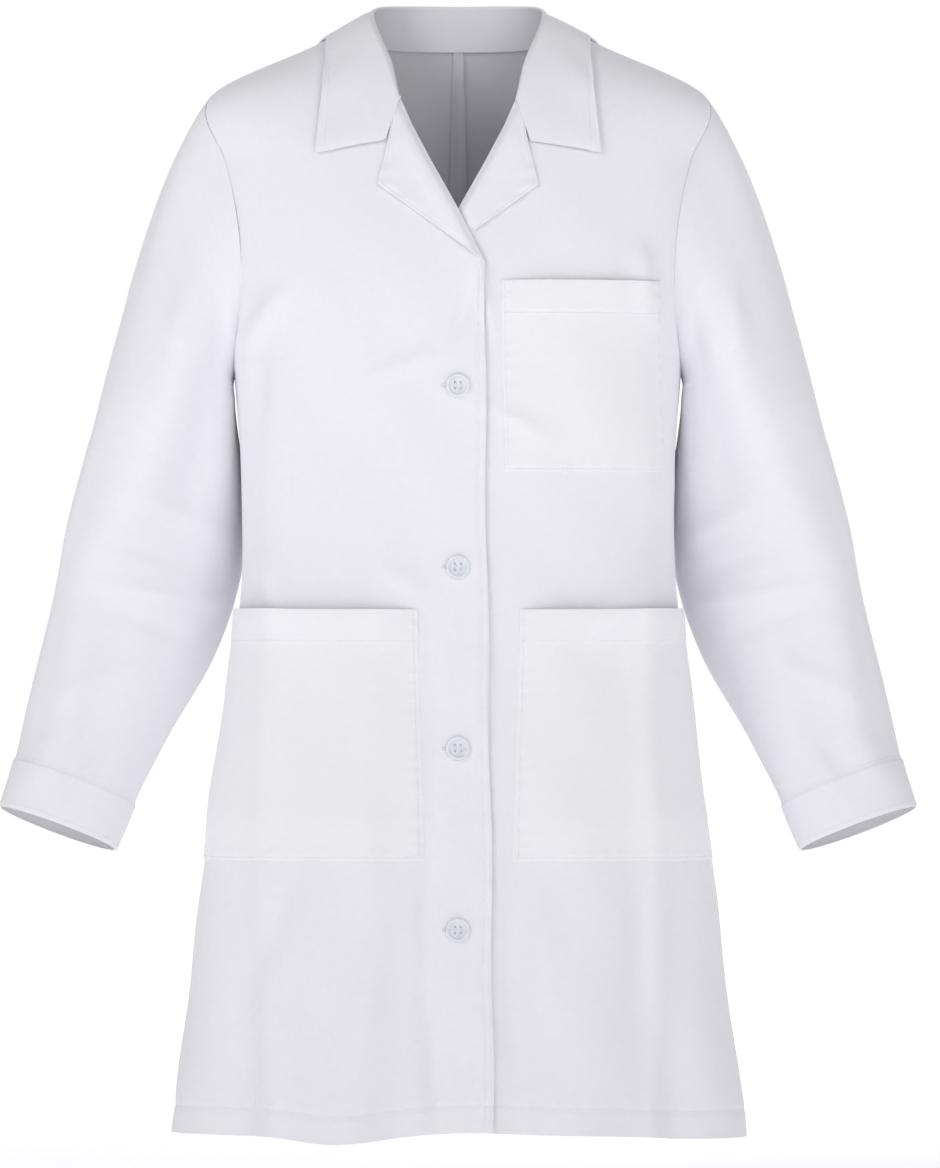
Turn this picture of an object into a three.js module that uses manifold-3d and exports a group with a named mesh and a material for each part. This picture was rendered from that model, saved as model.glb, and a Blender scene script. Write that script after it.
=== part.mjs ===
// Lab coat: a long-sleeved, knee-length white coat with a notched collar, closed by four buttons and
// standing in the shape of its wearer. Millimetres, +Z up, +X to the wearer's left, -Y to the front.
// The origin is the middle of the neck opening, level with the top of the collar, where a hanger's
// hook rises through. A drop is a distance down from there, and an angle runs round the body from
// 0 at the centre front, through 90 at the wearer's left side seam, to 180 at the centre back.
import * as THREE from 'three';
import { mergeVertices } from 'three/addons/utils/BufferGeometryUtils.js';
import Module from 'manifold-3d';

const wasm = await Module();
wasm.setup();
const { degToRad, radToDeg, lerp, smoothstep, clamp } = THREE.MathUtils;

// ---------------------------------------------------------------- driving dimensions

const CLOTH = 2; // cloth is drawn thicker than it is woven
const LAYER_GAP = 1; // air between two layers that lie on each other
const SEAM_GAP = 0.6; // air between two pieces that meet edge to edge
const LAYER = CLOTH + LAYER_GAP;
const SEAM_ANGLE = 0.12; // degrees by which cloth stops short of each side seam

const COAT_LENGTH = 950;
const NECK_DROP = 22; // where the shoulder seam meets the neck
const NECKLINE_DROP = 40; // the centre back of the neckline
const SHOULDER_RIM = 4; // how far below the neck's highest point the cloth of the shoulders starts
const SHOULDER_DROP = 84; // the shoulder tip
const YOKE_DROP = 140;
const BREAK_DROP = 222; // where the lapels end and the closed front begins
const UNDERARM_DROP = 305;
const WAIST_DROP = 480;
const HIP_DROP = 700;

const NECK_HALF_WIDTH = 80;
const SHOULDER_HALF_WIDTH = 207;
const CHEST_HALF_WIDTH = 186;
const WAIST_HALF_WIDTH = 181;
const HIP_HALF_WIDTH = 209;
const HEM_HALF_WIDTH = 240;
const CHEST_DEPTH = 115; // from the middle of the body to the front
const HEM_DEPTH = 122;
const SQUARENESS = 2.7; // 2 is an ellipse, more is flatter in front

const OVERLAP = 22; // how far each front passes the centre line
const FACING_WIDTH = 66;
const LIFT_RUN = 76; // the distance over which the upper front rises to pass over the lower one
const HEM_TURN = 22;
const PLEAT_DROP = 70;
const PLEAT_HALF_WIDTH = 18;
const HINGE_BOTTOM = 209; // half width of the hinge line at the hem
const HINGE_INSET = 16; // how far the fold bows inward of that line

// Half width of the open neck at the break, where the edges cross, at the lapels' top and at the collar.
const ROLL_SPREAD = [-20, 0, 48, 72];
const CROSS_DROP = 180;
const ROLL_BOW = 1.15; // 1 is a straight lapel fold, more bows it outward
const LAPEL_TOP_DROP = 88;
const LAPEL_TOP_WIDTH = 4; // also its width at the break
const NOTCH = { x: 58, drop: 124 };
const LAPEL_POINT = { x: 67, drop: 160 };
const COLLAR_POINT = { x: 118, drop: 133 };
const COLLAR_HALF_WIDTH = 72;
const COLLAR_TOP_DROP = 4;
const COLLAR_FALL = 62; // how far the collar falls at the centre back

const BUTTON_RADIUS = 10;
const BUTTON_THICKNESS = 4;
const BUTTON_COUNT = 4;
const FIRST_BUTTON_DROP = 326;
const BUTTON_SPACING = 151;
const THREAD_RADIUS = 1.5;
const BUTTON_SEAT = 1.5; // air between a button and the front that it holds
// The stiffened patch round a buttonhole and its slit, whose end stays this far past the thread.
const BUTTONHOLE = { x: -2, width: 42, height: 27, slitLength: 18, slitHeight: 4.6, slitEnd: 3 };

const POCKET_EASE = 12; // how far a pocket stands off the coat
const CHEST_POCKET = { x: 36, width: 132, top: 240, height: 157 };
const HIP_POCKET = { x: 42, top: 514, height: 208 };
// The fronts fold open along a straight line that starts just outside the chest pocket.
const HINGE_TOP = CHEST_POCKET.x + CHEST_POCKET.width + 8;

const ARMHOLE_FRONT_SCOOP = 30; // degrees that the armhole cuts into the front
const ARMHOLE_BACK_SCOOP = 24;
const ARMHOLE_ROUNDNESS = 0.6; // 1 is a plain arch, less is squarer
const SLEEVE_CLEARANCE = 4;
const SLEEVE_LENGTH = 392; // from the underarm's level to the end of the cuff
const SLEEVE_SPLAY = 92; // how much further out the cuff hangs than the upper arm
const CAP_BULGE = 38; // how far the sleeve head swells past the shoulder tip
const CAP_DROP = 46; // how far below the shoulder tip that swelling is
const BICEP = { halfWidth: 54, halfDepth: 60, twist: 20 };
const ELBOW = { halfWidth: 79, halfDepth: 43, twist: 22 };
const FOREARM = { halfWidth: 60, halfDepth: 40, twist: 10 };
const WRIST = { halfWidth: 50, halfDepth: 37, twist: 0 };
const CUFF_DEPTH = 44;

// ---------------------------------------------------------------- the body's shape

const BODY = [
  { drop: NECK_DROP, halfWidth: NECK_HALF_WIDTH, front: 34, back: 42 },
  { drop: NECKLINE_DROP, halfWidth: lerp(NECK_HALF_WIDTH, SHOULDER_HALF_WIDTH, 0.29), front: 47, back: 58 },
  { drop: SHOULDER_DROP, halfWidth: SHOULDER_HALF_WIDTH, front: 74, back: 76 },
  { drop: YOKE_DROP, halfWidth: SHOULDER_HALF_WIDTH + 1, front: 96, back: 88 },
  { drop: BREAK_DROP, halfWidth: lerp(CHEST_HALF_WIDTH, SHOULDER_HALF_WIDTH, 0.7), front: 113, back: 94 },
  { drop: UNDERARM_DROP, halfWidth: CHEST_HALF_WIDTH, front: CHEST_DEPTH, back: 96 },
  { drop: WAIST_DROP, halfWidth: WAIST_HALF_WIDTH, front: 106, back: 90 },
  { drop: HIP_DROP, halfWidth: HIP_HALF_WIDTH, front: 114, back: 104 },
  { drop: COAT_LENGTH, halfWidth: HEM_HALF_WIDTH, front: HEM_DEPTH, back: 116 },
];

// One of the body's sizes at any drop, as a smooth curve through the stations above.
function bodySize(drop, key) {
  const last = BODY.length - 1;
  let index = 0;
  while (index < last - 1 && drop > BODY[index + 1].drop) index += 1;
  const slope = (at) => {
    const before = BODY[Math.max(at - 1, 0)];
    const after = BODY[Math.min(at + 1, last)];
    return (after[key] - before[key]) / (after.drop - before.drop);
  };
  const upper = BODY[index];
  const lower = BODY[index + 1];
  const run = lower.drop - upper.drop;
  const t = (drop - upper.drop) / run;
  const ease = t * t * (3 - 2 * t);
  const leave = t * (1 - t) * (1 - t) * run * slope(index);
  const arrive = t * t * (t - 1) * run * slope(index + 1);
  return lerp(upper[key], lower[key], ease) + leave + arrive;
}

function bodySkin(angle, drop) {
  const side = Math.sin(degToRad(angle));
  const ahead = Math.cos(degToRad(angle));
  const depth = bodySize(drop, ahead > 0 ? 'front' : 'back');
  const x = bodySize(drop, 'halfWidth') * Math.sign(side) * Math.abs(side) ** (2 / SQUARENESS);
  const y = -depth * Math.sign(ahead) * Math.abs(ahead) ** (2 / SQUARENESS);
  return new THREE.Vector3(x, y, -drop);
}

// The direction that points away from a surface, measured between neighbouring points.
function outward(surface, a, b, stepA, stepB) {
  const alongA = surface(a + stepA, b).sub(surface(a - stepA, b));
  const alongB = surface(a, b + stepB).sub(surface(a, b - stepB));
  return alongB.cross(alongA).normalize();
}

// The same for the body, with steps of 0.4 degrees and 0.8 mm.
const awayFromBody = (angle, drop) => outward(bodySkin, angle, drop, 0.4, 0.8);

const bodyPoint = (angle, drop, offset) => (
  bodySkin(angle, drop).addScaledVector(awayFromBody(angle, drop), offset)
);

function angleAt(x, drop) {
  const share = clamp(Math.abs(x) / bodySize(drop, 'halfWidth'), 0, 1);
  return Math.sign(x) * radToDeg(Math.asin(share ** (SQUARENESS / 2)));
}

const frontPoint = (x, drop, offset) => bodyPoint(angleAt(x, drop), drop, offset);

// Moves a point out until it stands clear of the body.
function keepClear(point, clearance) {
  const drop = Math.max(-point.z, NECK_DROP + 1);
  const depth = bodySize(drop, point.y < 0 ? 'front' : 'back');
  const side = Math.sign(point.x) * (Math.abs(point.x) / bodySize(drop, 'halfWidth')) ** (SQUARENESS / 2);
  const ahead = Math.sign(-point.y) * (Math.abs(point.y) / depth) ** (SQUARENESS / 2);
  const angle = radToDeg(Math.atan2(side, ahead));
  const away = awayFromBody(angle, drop);
  const distance = point.clone().sub(bodySkin(angle, drop)).dot(away);
  return point.addScaledVector(away, Math.max(clearance - distance, 0));
}

// ---------------------------------------------------------------- seams and edges

function armholeAngle(drop, scoop) {
  const share = clamp((drop - SHOULDER_DROP) / (UNDERARM_DROP - SHOULDER_DROP), 0, 1);
  return 90 + scoop * Math.sin(Math.PI * share) ** ARMHOLE_ROUNDNESS;
}

const frontSideAngle = (drop) => armholeAngle(drop, -ARMHOLE_FRONT_SCOOP) - SEAM_ANGLE;
const backSideAngle = (drop) => armholeAngle(drop, ARMHOLE_BACK_SCOOP) + SEAM_ANGLE;

// Half width of the open neck: the lapels fold along it.
function rollX(drop) {
  const [atBreak, atCross, atLapelTop, atCollar] = ROLL_SPREAD;
  if (drop > CROSS_DROP) {
    return lerp(atCross, atBreak, (drop - CROSS_DROP) / (BREAK_DROP - CROSS_DROP));
  }
  if (drop > LAPEL_TOP_DROP) {
    const fall = (drop - LAPEL_TOP_DROP) / (CROSS_DROP - LAPEL_TOP_DROP);
    return lerp(atLapelTop, atCross, fall ** ROLL_BOW);
  }
  return lerp(atLapelTop, atCollar, (LAPEL_TOP_DROP - drop) / (LAPEL_TOP_DROP - NECK_DROP));
}

// A lapel's outer edge, through its top, the notch, its point and the break.
function lapelEdgeX(drop) {
  const corners = [
    { x: rollX(LAPEL_TOP_DROP) + LAPEL_TOP_WIDTH, drop: LAPEL_TOP_DROP },
    NOTCH,
    LAPEL_POINT,
    { x: LAPEL_TOP_WIDTH - OVERLAP, drop: BREAK_DROP },
  ];
  const below = corners.findIndex((corner, index) => index > 0 && drop <= corner.drop);
  const [upper, lower] = [corners[below - 1], corners[below]];
  return lerp(upper.x, lower.x, (drop - upper.drop) / (lower.drop - upper.drop));
}

const hingeX = (drop) => lerp(HINGE_TOP, HINGE_BOTTOM, (drop - BREAK_DROP) / (COAT_LENGTH - BREAK_DROP));

// Where the opening part of a front begins: a curve that bows inward of the straight hinge line.
function foldX(drop) {
  const share = (drop - BREAK_DROP) / (COAT_LENGTH - BREAK_DROP);
  return hingeX(drop) - LAYER_GAP - HINGE_INSET * Math.sin(Math.PI * clamp(share, 0, 1));
}

// The wearer's right front lies over the left one, so it rises two layers towards its edge.
function frontLift(side, x) {
  if (side > 0) return 0;
  return 2 * LAYER * smoothstep(x, OVERLAP - FACING_WIDTH - LIFT_RUN, OVERLAP - FACING_WIDTH);
}

// ---------------------------------------------------------------- solids

// Moves every corner of a closed geometry and makes sure that its faces point out.
function reshape(geometry, place) {
  geometry.deleteAttribute('normal');
  geometry.deleteAttribute('uv');
  const merged = mergeVertices(geometry, 1e-5);
  const corners = merged.attributes.position;
  const corner = new THREE.Vector3();
  for (let index = 0; index < corners.count; index += 1) {
    corner.fromBufferAttribute(corners, index);
    const moved = place(corner);
    corners.setXYZ(index, moved.x, moved.y, moved.z);
  }
  if (signedVolume(merged) < 0) merged.index.array.reverse();
  return merged;
}

function signedVolume(geometry) {
  const corners = geometry.attributes.position;
  const [a, b, c] = [new THREE.Vector3(), new THREE.Vector3(), new THREE.Vector3()];
  let volume = 0;
  for (let index = 0; index < geometry.index.count; index += 3) {
    a.fromBufferAttribute(corners, geometry.index.getX(index));
    b.fromBufferAttribute(corners, geometry.index.getX(index + 1));
    c.fromBufferAttribute(corners, geometry.index.getX(index + 2));
    volume += a.dot(b.cross(c)) / 6;
  }
  return volume;
}

// A sheet of cloth: place(across, down, out) gives its points, each share running from 0 to 1.
function sheet(columns, rows, place) {
  const slab = new THREE.BoxGeometry(1, 1, 1, columns, rows, 1);
  return reshape(slab, (corner) => place(corner.x + 0.5, 0.5 - corner.y, corner.z + 0.5));
}

// A tube of cloth: place(round, along, out) gives its points, and round is an angle in radians.
function tube(columns, rows, place) {
  const wall = [];
  for (let row = 0; row <= rows; row += 1) wall.push(new THREE.Vector2(2, row / rows));
  for (let row = rows; row >= 0; row -= 1) wall.push(new THREE.Vector2(1, row / rows));
  wall.push(wall[0].clone());
  const ring = new THREE.LatheGeometry(wall, columns);
  return reshape(ring, (corner) => {
    const radius = Math.hypot(corner.x, corner.z);
    return place(Math.atan2(corner.x, corner.z), corner.y, radius - 1);
  });
}

// A sheet that follows the body between two edges, which are given as angles at each drop. A crowding
// over 1 brings the rows closer together towards the top.
function bodySheet({
  top, bottom, near, far, layer = 0, thickness = CLOTH, lift = () => 0, columns, rows, crowding = 1,
}) {
  return sheet(columns, rows, (across, down, out) => {
    const drop = lerp(top, bottom, down ** crowding);
    const angle = lerp(near(drop), far(drop), across);
    const x = bodySkin(angle, drop).x;
    return bodyPoint(angle, drop, layer + lift(x) + thickness * out);
  });
}

function toSolid(geometry) {
  const bare = geometry.clone();
  bare.deleteAttribute('normal');
  bare.deleteAttribute('uv');
  const merged = mergeVertices(bare, 1e-4);
  const mesh = new wasm.Mesh({
    numProp: 3,
    vertProperties: Float32Array.from(merged.attributes.position.array),
    triVerts: Uint32Array.from(merged.index.array),
  });
  return new wasm.Manifold(mesh);
}

function toGeometry(solid) {
  const mesh = solid.getMesh();
  const geometry = new THREE.BufferGeometry();
  geometry.setAttribute('position', new THREE.BufferAttribute(mesh.vertProperties, 3));
  geometry.setIndex(new THREE.BufferAttribute(mesh.triVerts, 1));
  return geometry;
}

function block(width, depth, height, x, y, z) {
  return toSolid(new THREE.BoxGeometry(width, depth, height).translate(x, y, z));
}

// ---------------------------------------------------------------- materials and the group

const white = { color: 0xeceaf0, roughness: 0.85, metalness: 0 };
const CLOTH_WHITE = white;
const CLOTH_INSIDE = { ...white, color: 0xd9d8df };
const POCKET_WHITE = { ...white, color: 0xeeedf2 };
const THREAD_WHITE = { ...white, color: 0xe2e1e6, roughness: 0.7 };
const BUTTON_WHITE = { color: 0xe7e6ea, roughness: 0.35, metalness: 0 };

const coat = new THREE.Group();

function add(name, geometry, look) {
  const mesh = new THREE.Mesh(geometry, new THREE.MeshStandardMaterial(look));
  mesh.name = name;
  coat.add(mesh);
}

const SIDES = [['right', -1], ['left', 1]];

// ---------------------------------------------------------------- back

function addBack() {
  for (const [name, side] of SIDES) {
    const necklineX = (drop) => {
      const climb = clamp((NECKLINE_DROP - drop) / (NECKLINE_DROP - NECK_DROP), 0, 1);
      return (NECK_HALF_WIDTH - SHOULDER_RIM) * Math.sqrt(climb);
    };
    const centre = (drop) => side * (180 - SEAM_ANGLE - angleAt(necklineX(drop), drop));
    const rim = (drop) => side * backSideAngle(drop);
    add(`back_${name}`, bodySheet({
      top: NECK_DROP + SHOULDER_RIM, bottom: COAT_LENGTH,
      near: centre, far: rim, columns: 8, rows: 21, crowding: 1.7,
    }), CLOTH_WHITE);
    add(`back_${name}_hem`, bodySheet({
      top: COAT_LENGTH - HEM_TURN, bottom: COAT_LENGTH,
      near: () => side * (180 - 4 * SEAM_ANGLE), far: () => side * (90 + 2 * SEAM_ANGLE),
      layer: -LAYER, columns: 8, rows: 1,
    }), CLOTH_INSIDE);
  }
  add('back_pleat', bodySheet({
    top: PLEAT_DROP, bottom: COAT_LENGTH - HEM_TURN - CLOTH,
    near: (drop) => 180 - angleAt(PLEAT_HALF_WIDTH, drop),
    far: (drop) => 180 + angleAt(PLEAT_HALF_WIDTH, drop),
    layer: -LAYER - LAYER_GAP, columns: 4, rows: 18,
  }), CLOTH_INSIDE);
}

// ---------------------------------------------------------------- fronts

const FRONT_ROWS = 18; // shared by the pieces that meet along the fold line, so that their edges match
const edgeAngle = (side, x) => (drop) => angleAt(side * x(drop), drop);

// A sheet on one front. near and far are distances from the centre line towards that side.
function frontSheet(side, { near, far, ...rest }) {
  return bodySheet({
    near: edgeAngle(side, near), far: edgeAngle(side, far), lift: (x) => frontLift(side, x), ...rest,
  });
}

const buttonDrops = Array.from(
  { length: BUTTON_COUNT },
  (_, index) => FIRST_BUTTON_DROP + index * BUTTON_SPACING,
);
const cutReach = 40; // from the back of a cut through the front to its face

// The block of cloth round one buttonhole; a margin makes it smaller all round.
function buttonholeBlock(drop, margin) {
  const { x, width, height } = BUTTONHOLE;
  const y = -bodySize(drop, 'front');
  return block(width - 2 * margin, cutReach, height - 2 * margin, x, y, -drop);
}

function cutButtonholes(geometry) {
  let cut = toSolid(geometry);
  for (const drop of buttonDrops) cut = cut.subtract(buttonholeBlock(drop, 0));
  return toGeometry(cut);
}

function addFrontUppers() {
  for (const [name, side] of SIDES) {
    add(`${name}_front_upper`, bodySheet({
      top: NECK_DROP + SHOULDER_RIM, bottom: BREAK_DROP - SEAM_GAP,
      near: edgeAngle(side, rollX), far: (drop) => side * frontSideAngle(drop),
      lift: (x) => frontLift(side, x), columns: 9, rows: 17,
    }), CLOTH_WHITE);
    add(`${name}_front_side`, bodySheet({
      top: BREAK_DROP + SEAM_GAP, bottom: COAT_LENGTH,
      near: edgeAngle(side, foldX), far: (drop) => side * frontSideAngle(drop),
      columns: 3, rows: FRONT_ROWS,
    }), CLOTH_WHITE);
    add(`${name}_side_hem`, bodySheet({
      top: COAT_LENGTH - HEM_TURN, bottom: COAT_LENGTH,
      near: edgeAngle(side, foldX), far: () => side * (90 - 2 * SEAM_ANGLE),
      layer: -LAYER, columns: 3, rows: 1,
    }), CLOTH_INSIDE);
  }
}

// The part of a front that opens, with its buttonholes or its plain edge.
function addOpeningFronts() {
  const lower = { top: BREAK_DROP + SEAM_GAP, bottom: COAT_LENGTH };
  const edge = () => -OVERLAP;
  const facingEdge = () => FACING_WIDTH - OVERLAP;
  for (const [name, side] of SIDES) {
    const front = frontSheet(side, {
      ...lower, near: edge, far: (drop) => foldX(drop) - SEAM_GAP, columns: 9, rows: FRONT_ROWS,
    });
    const facing = frontSheet(side, {
      ...lower, near: () => LAYER_GAP - OVERLAP, far: facingEdge, layer: -LAYER, columns: 3, rows: FRONT_ROWS,
    });
    const worked = side < 0;
    add(`${name}_front`, worked ? cutButtonholes(front) : front, CLOTH_WHITE);
    add(`${name}_front_facing`, worked ? cutButtonholes(facing) : facing, CLOTH_INSIDE);
    add(`${name}_front_hem`, frontSheet(side, {
      top: COAT_LENGTH - HEM_TURN, bottom: COAT_LENGTH,
      near: () => facingEdge() + LAYER_GAP, far: (drop) => foldX(drop) - LAYER_GAP,
      layer: -LAYER, columns: 5, rows: 1,
    }), CLOTH_INSIDE);
  }
}

// The stiffened cloth round each buttonhole, slit for the button's thread.
function addButtonholes() {
  const { height, slitLength, slitHeight, slitEnd } = BUTTONHOLE;
  buttonDrops.forEach((drop, index) => {
    const half = height / 2;
    const cloth = frontSheet(-1, {
      top: drop - half - CLOTH, bottom: drop + half + CLOTH,
      near: () => -OVERLAP, far: () => FACING_WIDTH - OVERLAP, columns: 4, rows: 2,
    });
    const slitX = slitEnd - slitLength / 2;
    const slit = block(slitLength, cutReach, slitHeight, slitX, -bodySize(drop, 'front'), -drop);
    const patch = toSolid(cloth).intersect(buttonholeBlock(drop, SEAM_GAP / 2)).subtract(slit);
    add(`buttonhole_${index + 1}`, toGeometry(patch), CLOTH_WHITE);
  });
}

// ---------------------------------------------------------------- buttons

function addButtons() {
  const rim = BUTTON_RADIUS;
  const high = BUTTON_THICKNESS;
  const dish = 0.55 * high;
  const profile = [
    [0, 0], [0.8 * rim, 0], [rim, 0.3 * high], [rim, 0.75 * high],
    [0.9 * rim, high], [0.7 * rim, 0.8 * high], [0.62 * rim, dish], [0, dish],
  ].map(([radius, height]) => new THREE.Vector2(radius, height));
  const holeRadius = 1;
  const holeSpread = 2.4;
  const seat = 2 * LAYER + CLOTH + BUTTON_SEAT;
  const threadGap = 0.5;
  buttonDrops.forEach((drop, index) => {
    const faceY = -bodySize(drop, 'front');
    const turned = new THREE.LatheGeometry(profile, 24).rotateZ(Math.PI);
    let button = toSolid(turned.translate(0, faceY - seat, -drop));
    for (const [across, up] of [[1, 1], [1, -1], [-1, 1], [-1, -1]]) {
      const drill = new THREE.CylinderGeometry(holeRadius, holeRadius, 4 * high, 8);
      drill.translate(across * holeSpread, faceY - seat, up * holeSpread - drop);
      button = button.subtract(toSolid(drill));
    }
    add(`button_${index + 1}`, toGeometry(button), BUTTON_WHITE);
    const length = seat - CLOTH - 2 * threadGap;
    const thread = new THREE.CylinderGeometry(THREAD_RADIUS, THREAD_RADIUS, length, 8);
    thread.translate(0, faceY - CLOTH - threadGap - length / 2, -drop);
    add(`button_thread_${index + 1}`, thread, THREAD_WHITE);
  });
}

// ---------------------------------------------------------------- pockets

// A patch pocket: an open-topped tray that stands off the coat by its ease.
function addPocket(name, side, { near, far, top, height }) {
  const wall = CLOTH;
  const past = 2; // how far the hollow runs on behind the pocket, where the coat closes it
  const above = 10; // and over its mouth
  const size = { columns: 8, rows: 8 };
  const outside = frontSheet(side, {
    near, far, top, bottom: top + height, layer: LAYER, thickness: POCKET_EASE + wall, ...size,
  });
  const inside = frontSheet(side, {
    near: (drop) => near(drop) + wall, far: (drop) => far(drop) - wall,
    top: top - above, bottom: top + height - wall,
    layer: LAYER - past, thickness: POCKET_EASE + past, ...size,
  });
  add(name, toGeometry(toSolid(outside).subtract(toSolid(inside))), POCKET_WHITE);
}

function addPockets() {
  addPocket('chest_pocket', 1, {
    near: () => CHEST_POCKET.x, far: () => CHEST_POCKET.x + CHEST_POCKET.width,
    top: CHEST_POCKET.top, height: CHEST_POCKET.height,
  });
  for (const [name, side] of SIDES) {
    addPocket(`${name}_hip_pocket`, side, {
      near: () => HIP_POCKET.x, far: (drop) => foldX(drop) - LAYER,
      top: HIP_POCKET.top, height: HIP_POCKET.height,
    });
  }
}

// ---------------------------------------------------------------- lapels and collar

function addLapels() {
  for (const [name, side] of SIDES) {
    add(`${name}_lapel`, frontSheet(side, {
      near: rollX, far: lapelEdgeX, top: LAPEL_TOP_DROP, bottom: BREAK_DROP - LAYER,
      layer: LAYER, columns: 4, rows: 14,
    }), CLOTH_WHITE);
  }
}

// A curve from the wearer's right front, round the back of the neck, to the left front.
function aroundNeck(rightHalf, back) {
  const leftHalf = rightHalf.map((point) => new THREE.Vector3(-point.x, point.y, point.z)).reverse();
  return new THREE.CatmullRomCurve3([...rightHalf, back, ...leftHalf]);
}

// The collar folds over along its roll line and falls to its rim, whose front ends are its points.
function addCollar() {
  const lapelTopX = rollX(LAPEL_TOP_DROP);
  const width = COLLAR_HALF_WIDTH;
  const clear = 2 * LAYER;
  const roll = aroundNeck([
    frontPoint(-lapelTopX, LAPEL_TOP_DROP, clear),
    frontPoint(-lerp(lapelTopX, width, 0.45), lerp(LAPEL_TOP_DROP, NECK_DROP, 0.48), clear),
    new THREE.Vector3(-width, -16, -20),
    new THREE.Vector3(-width + 2, 22, -COLLAR_TOP_DROP - 3),
    new THREE.Vector3(-0.6 * width, 52, -COLLAR_TOP_DROP),
  ], new THREE.Vector3(0, 63, -COLLAR_TOP_DROP));
  const point = COLLAR_POINT;
  const rim = aroundNeck([
    frontPoint(-point.x, point.drop, 2 * LAYER + frontLift(-1, -point.x)),
    frontPoint(-point.x + 4, lerp(point.drop, SHOULDER_DROP, 0.8), clear),
    frontPoint(-point.x + 8, lerp(point.drop, NECKLINE_DROP, 0.8), clear),
    bodyPoint(-92, NECKLINE_DROP + 1, clear),
    bodyPoint(-128, COLLAR_FALL + 2, clear),
  ], bodyPoint(180, COLLAR_TOP_DROP + COLLAR_FALL, clear));
  const roundOut = 9;
  const fall = (across, down) => {
    const top = roll.getPoint(across);
    const bottom = rim.getPoint(across);
    const swell = bottom.clone().sub(top).cross(roll.getTangent(across)).normalize();
    const endShare = Math.max(0, 1 - Math.min(across, 1 - across) / 0.14) ** 2;
    const end = across < 0.5 ? -1 : 1;
    const notch = frontPoint(end * (NOTCH.x + 2), NOTCH.drop, clear + frontLift(end, end * NOTCH.x));
    const pull = notch.sub(top.clone().lerp(bottom, 0.5)).multiplyScalar(endShare);
    const arc = 4 * down * (1 - down);
    const place = top.clone().lerp(bottom, down).addScaledVector(swell, roundOut * arc * (1 - endShare))
      .addScaledVector(pull, arc);
    const clearance = 2 * LAYER + CLOTH + frontLift(Math.sign(place.x), place.x);
    return keepClear(keepClear(place, clearance), clearance);
  };
  const fallPoint = (across, down, offset) => {
    const u = clamp(across, 0.004, 0.996);
    const v = clamp(down, 0.01, 0.99);
    const away = outward(fall, u, v, 0.004, 0.01);
    return fall(across, down).addScaledVector(away, offset);
  };
  const cloth = sheet(30, 4, (across, down, out) => fallPoint(across, down, CLOTH * (out - 0.5)));
  add('collar_fall', cloth, CLOTH_WHITE);

  const [standAtFront, standBehind] = [7, NECKLINE_DROP - COLLAR_TOP_DROP - LAYER];
  const standHeight = (across) => lerp(standAtFront, standBehind, Math.sin(Math.PI * across) ** 4);
  add('collar_stand', sheet(26, 2, (across, down, out) => {
    const share = lerp(0.09, 0.91, across);
    const top = roll.getPoint(share);
    const inward = new THREE.Vector3(-top.x, 8 - top.y, 0).normalize();
    return top.addScaledVector(inward, 7 - CLOTH * out + 1.5 * down)
      .add(new THREE.Vector3(0, 0, -1 - standHeight(share) * down));
  }), CLOTH_INSIDE);
}

// ---------------------------------------------------------------- sleeves

const bicepReach = BICEP.halfWidth * Math.cos(degToRad(BICEP.twist));
const bicepOut = CHEST_HALF_WIDTH + SLEEVE_CLEARANCE + bicepReach + LAYER;
const sleeveCentre = new THREE.CatmullRomCurve3([
  { out: 0, back: 8, down: 0.07 },
  { out: 0.15, back: 28, down: 0.43 },
  { out: 0.62, back: 12, down: 0.76 },
  { out: 1, back: -2, down: 1 },
].map(({ out, back, down }) => new THREE.Vector3(
  bicepOut + out * SLEEVE_SPLAY, back, -UNDERARM_DROP - down * SLEEVE_LENGTH)));
// The three coordinates of this curve are a ring's half width, half depth and twist.
const sleeveSizes = new THREE.CatmullRomCurve3([BICEP, ELBOW, FOREARM, WRIST].map(
  ({ halfWidth, halfDepth, twist }) => new THREE.Vector3(halfWidth, halfDepth, twist)));
const ELBOW_SHARE = 1 / 3;

// A point of the left sleeve's ring at a share of the way down; round is 0 at its outer end.
function sleevePoint(share, round, offset) {
  const centre = sleeveCentre.getPoint(share);
  const along = sleeveCentre.getTangent(share);
  const size = sleeveSizes.getPoint(share);
  const out = new THREE.Vector3(-along.z, 0, along.x).normalize();
  const ahead = along.clone().cross(out).normalize();
  const twist = degToRad(size.z);
  const long = out.clone().multiplyScalar(Math.cos(twist)).addScaledVector(ahead, Math.sin(twist));
  const short = ahead.clone().multiplyScalar(Math.cos(twist)).addScaledVector(out, -Math.sin(twist));
  return centre.addScaledVector(long, (size.x + offset) * Math.cos(round))
    .addScaledVector(short, (size.y + offset) * Math.sin(round));
}

function armholePoint(round, offset) {
  const drop = lerp(SHOULDER_DROP, UNDERARM_DROP, (1 - Math.cos(round)) / 2);
  const scoop = Math.sin(round) > 0 ? -ARMHOLE_FRONT_SCOOP : ARMHOLE_BACK_SCOOP;
  const point = bodySkin(armholeAngle(drop, scoop), drop);
  const middle = (SHOULDER_DROP + UNDERARM_DROP) / 2;
  const radial = new THREE.Vector3(0, point.y, point.z + middle).normalize();
  point.x += SLEEVE_CLEARANCE;
  return point.addScaledVector(radial, offset);
}

function sleeveHeadPoint(share, round, offset) {
  const start = armholePoint(round, offset);
  const end = sleevePoint(0, round, offset);
  const high = (1 + Math.cos(round)) / 2;
  const middle = start.clone().addScaledVector(end.clone().sub(start), (1 - high) / 2);
  middle.add(new THREE.Vector3(CAP_BULGE, 0, -CAP_DROP).multiplyScalar(high));
  return new THREE.QuadraticBezierCurve3(start, middle, end).getPoint(share);
}

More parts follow.
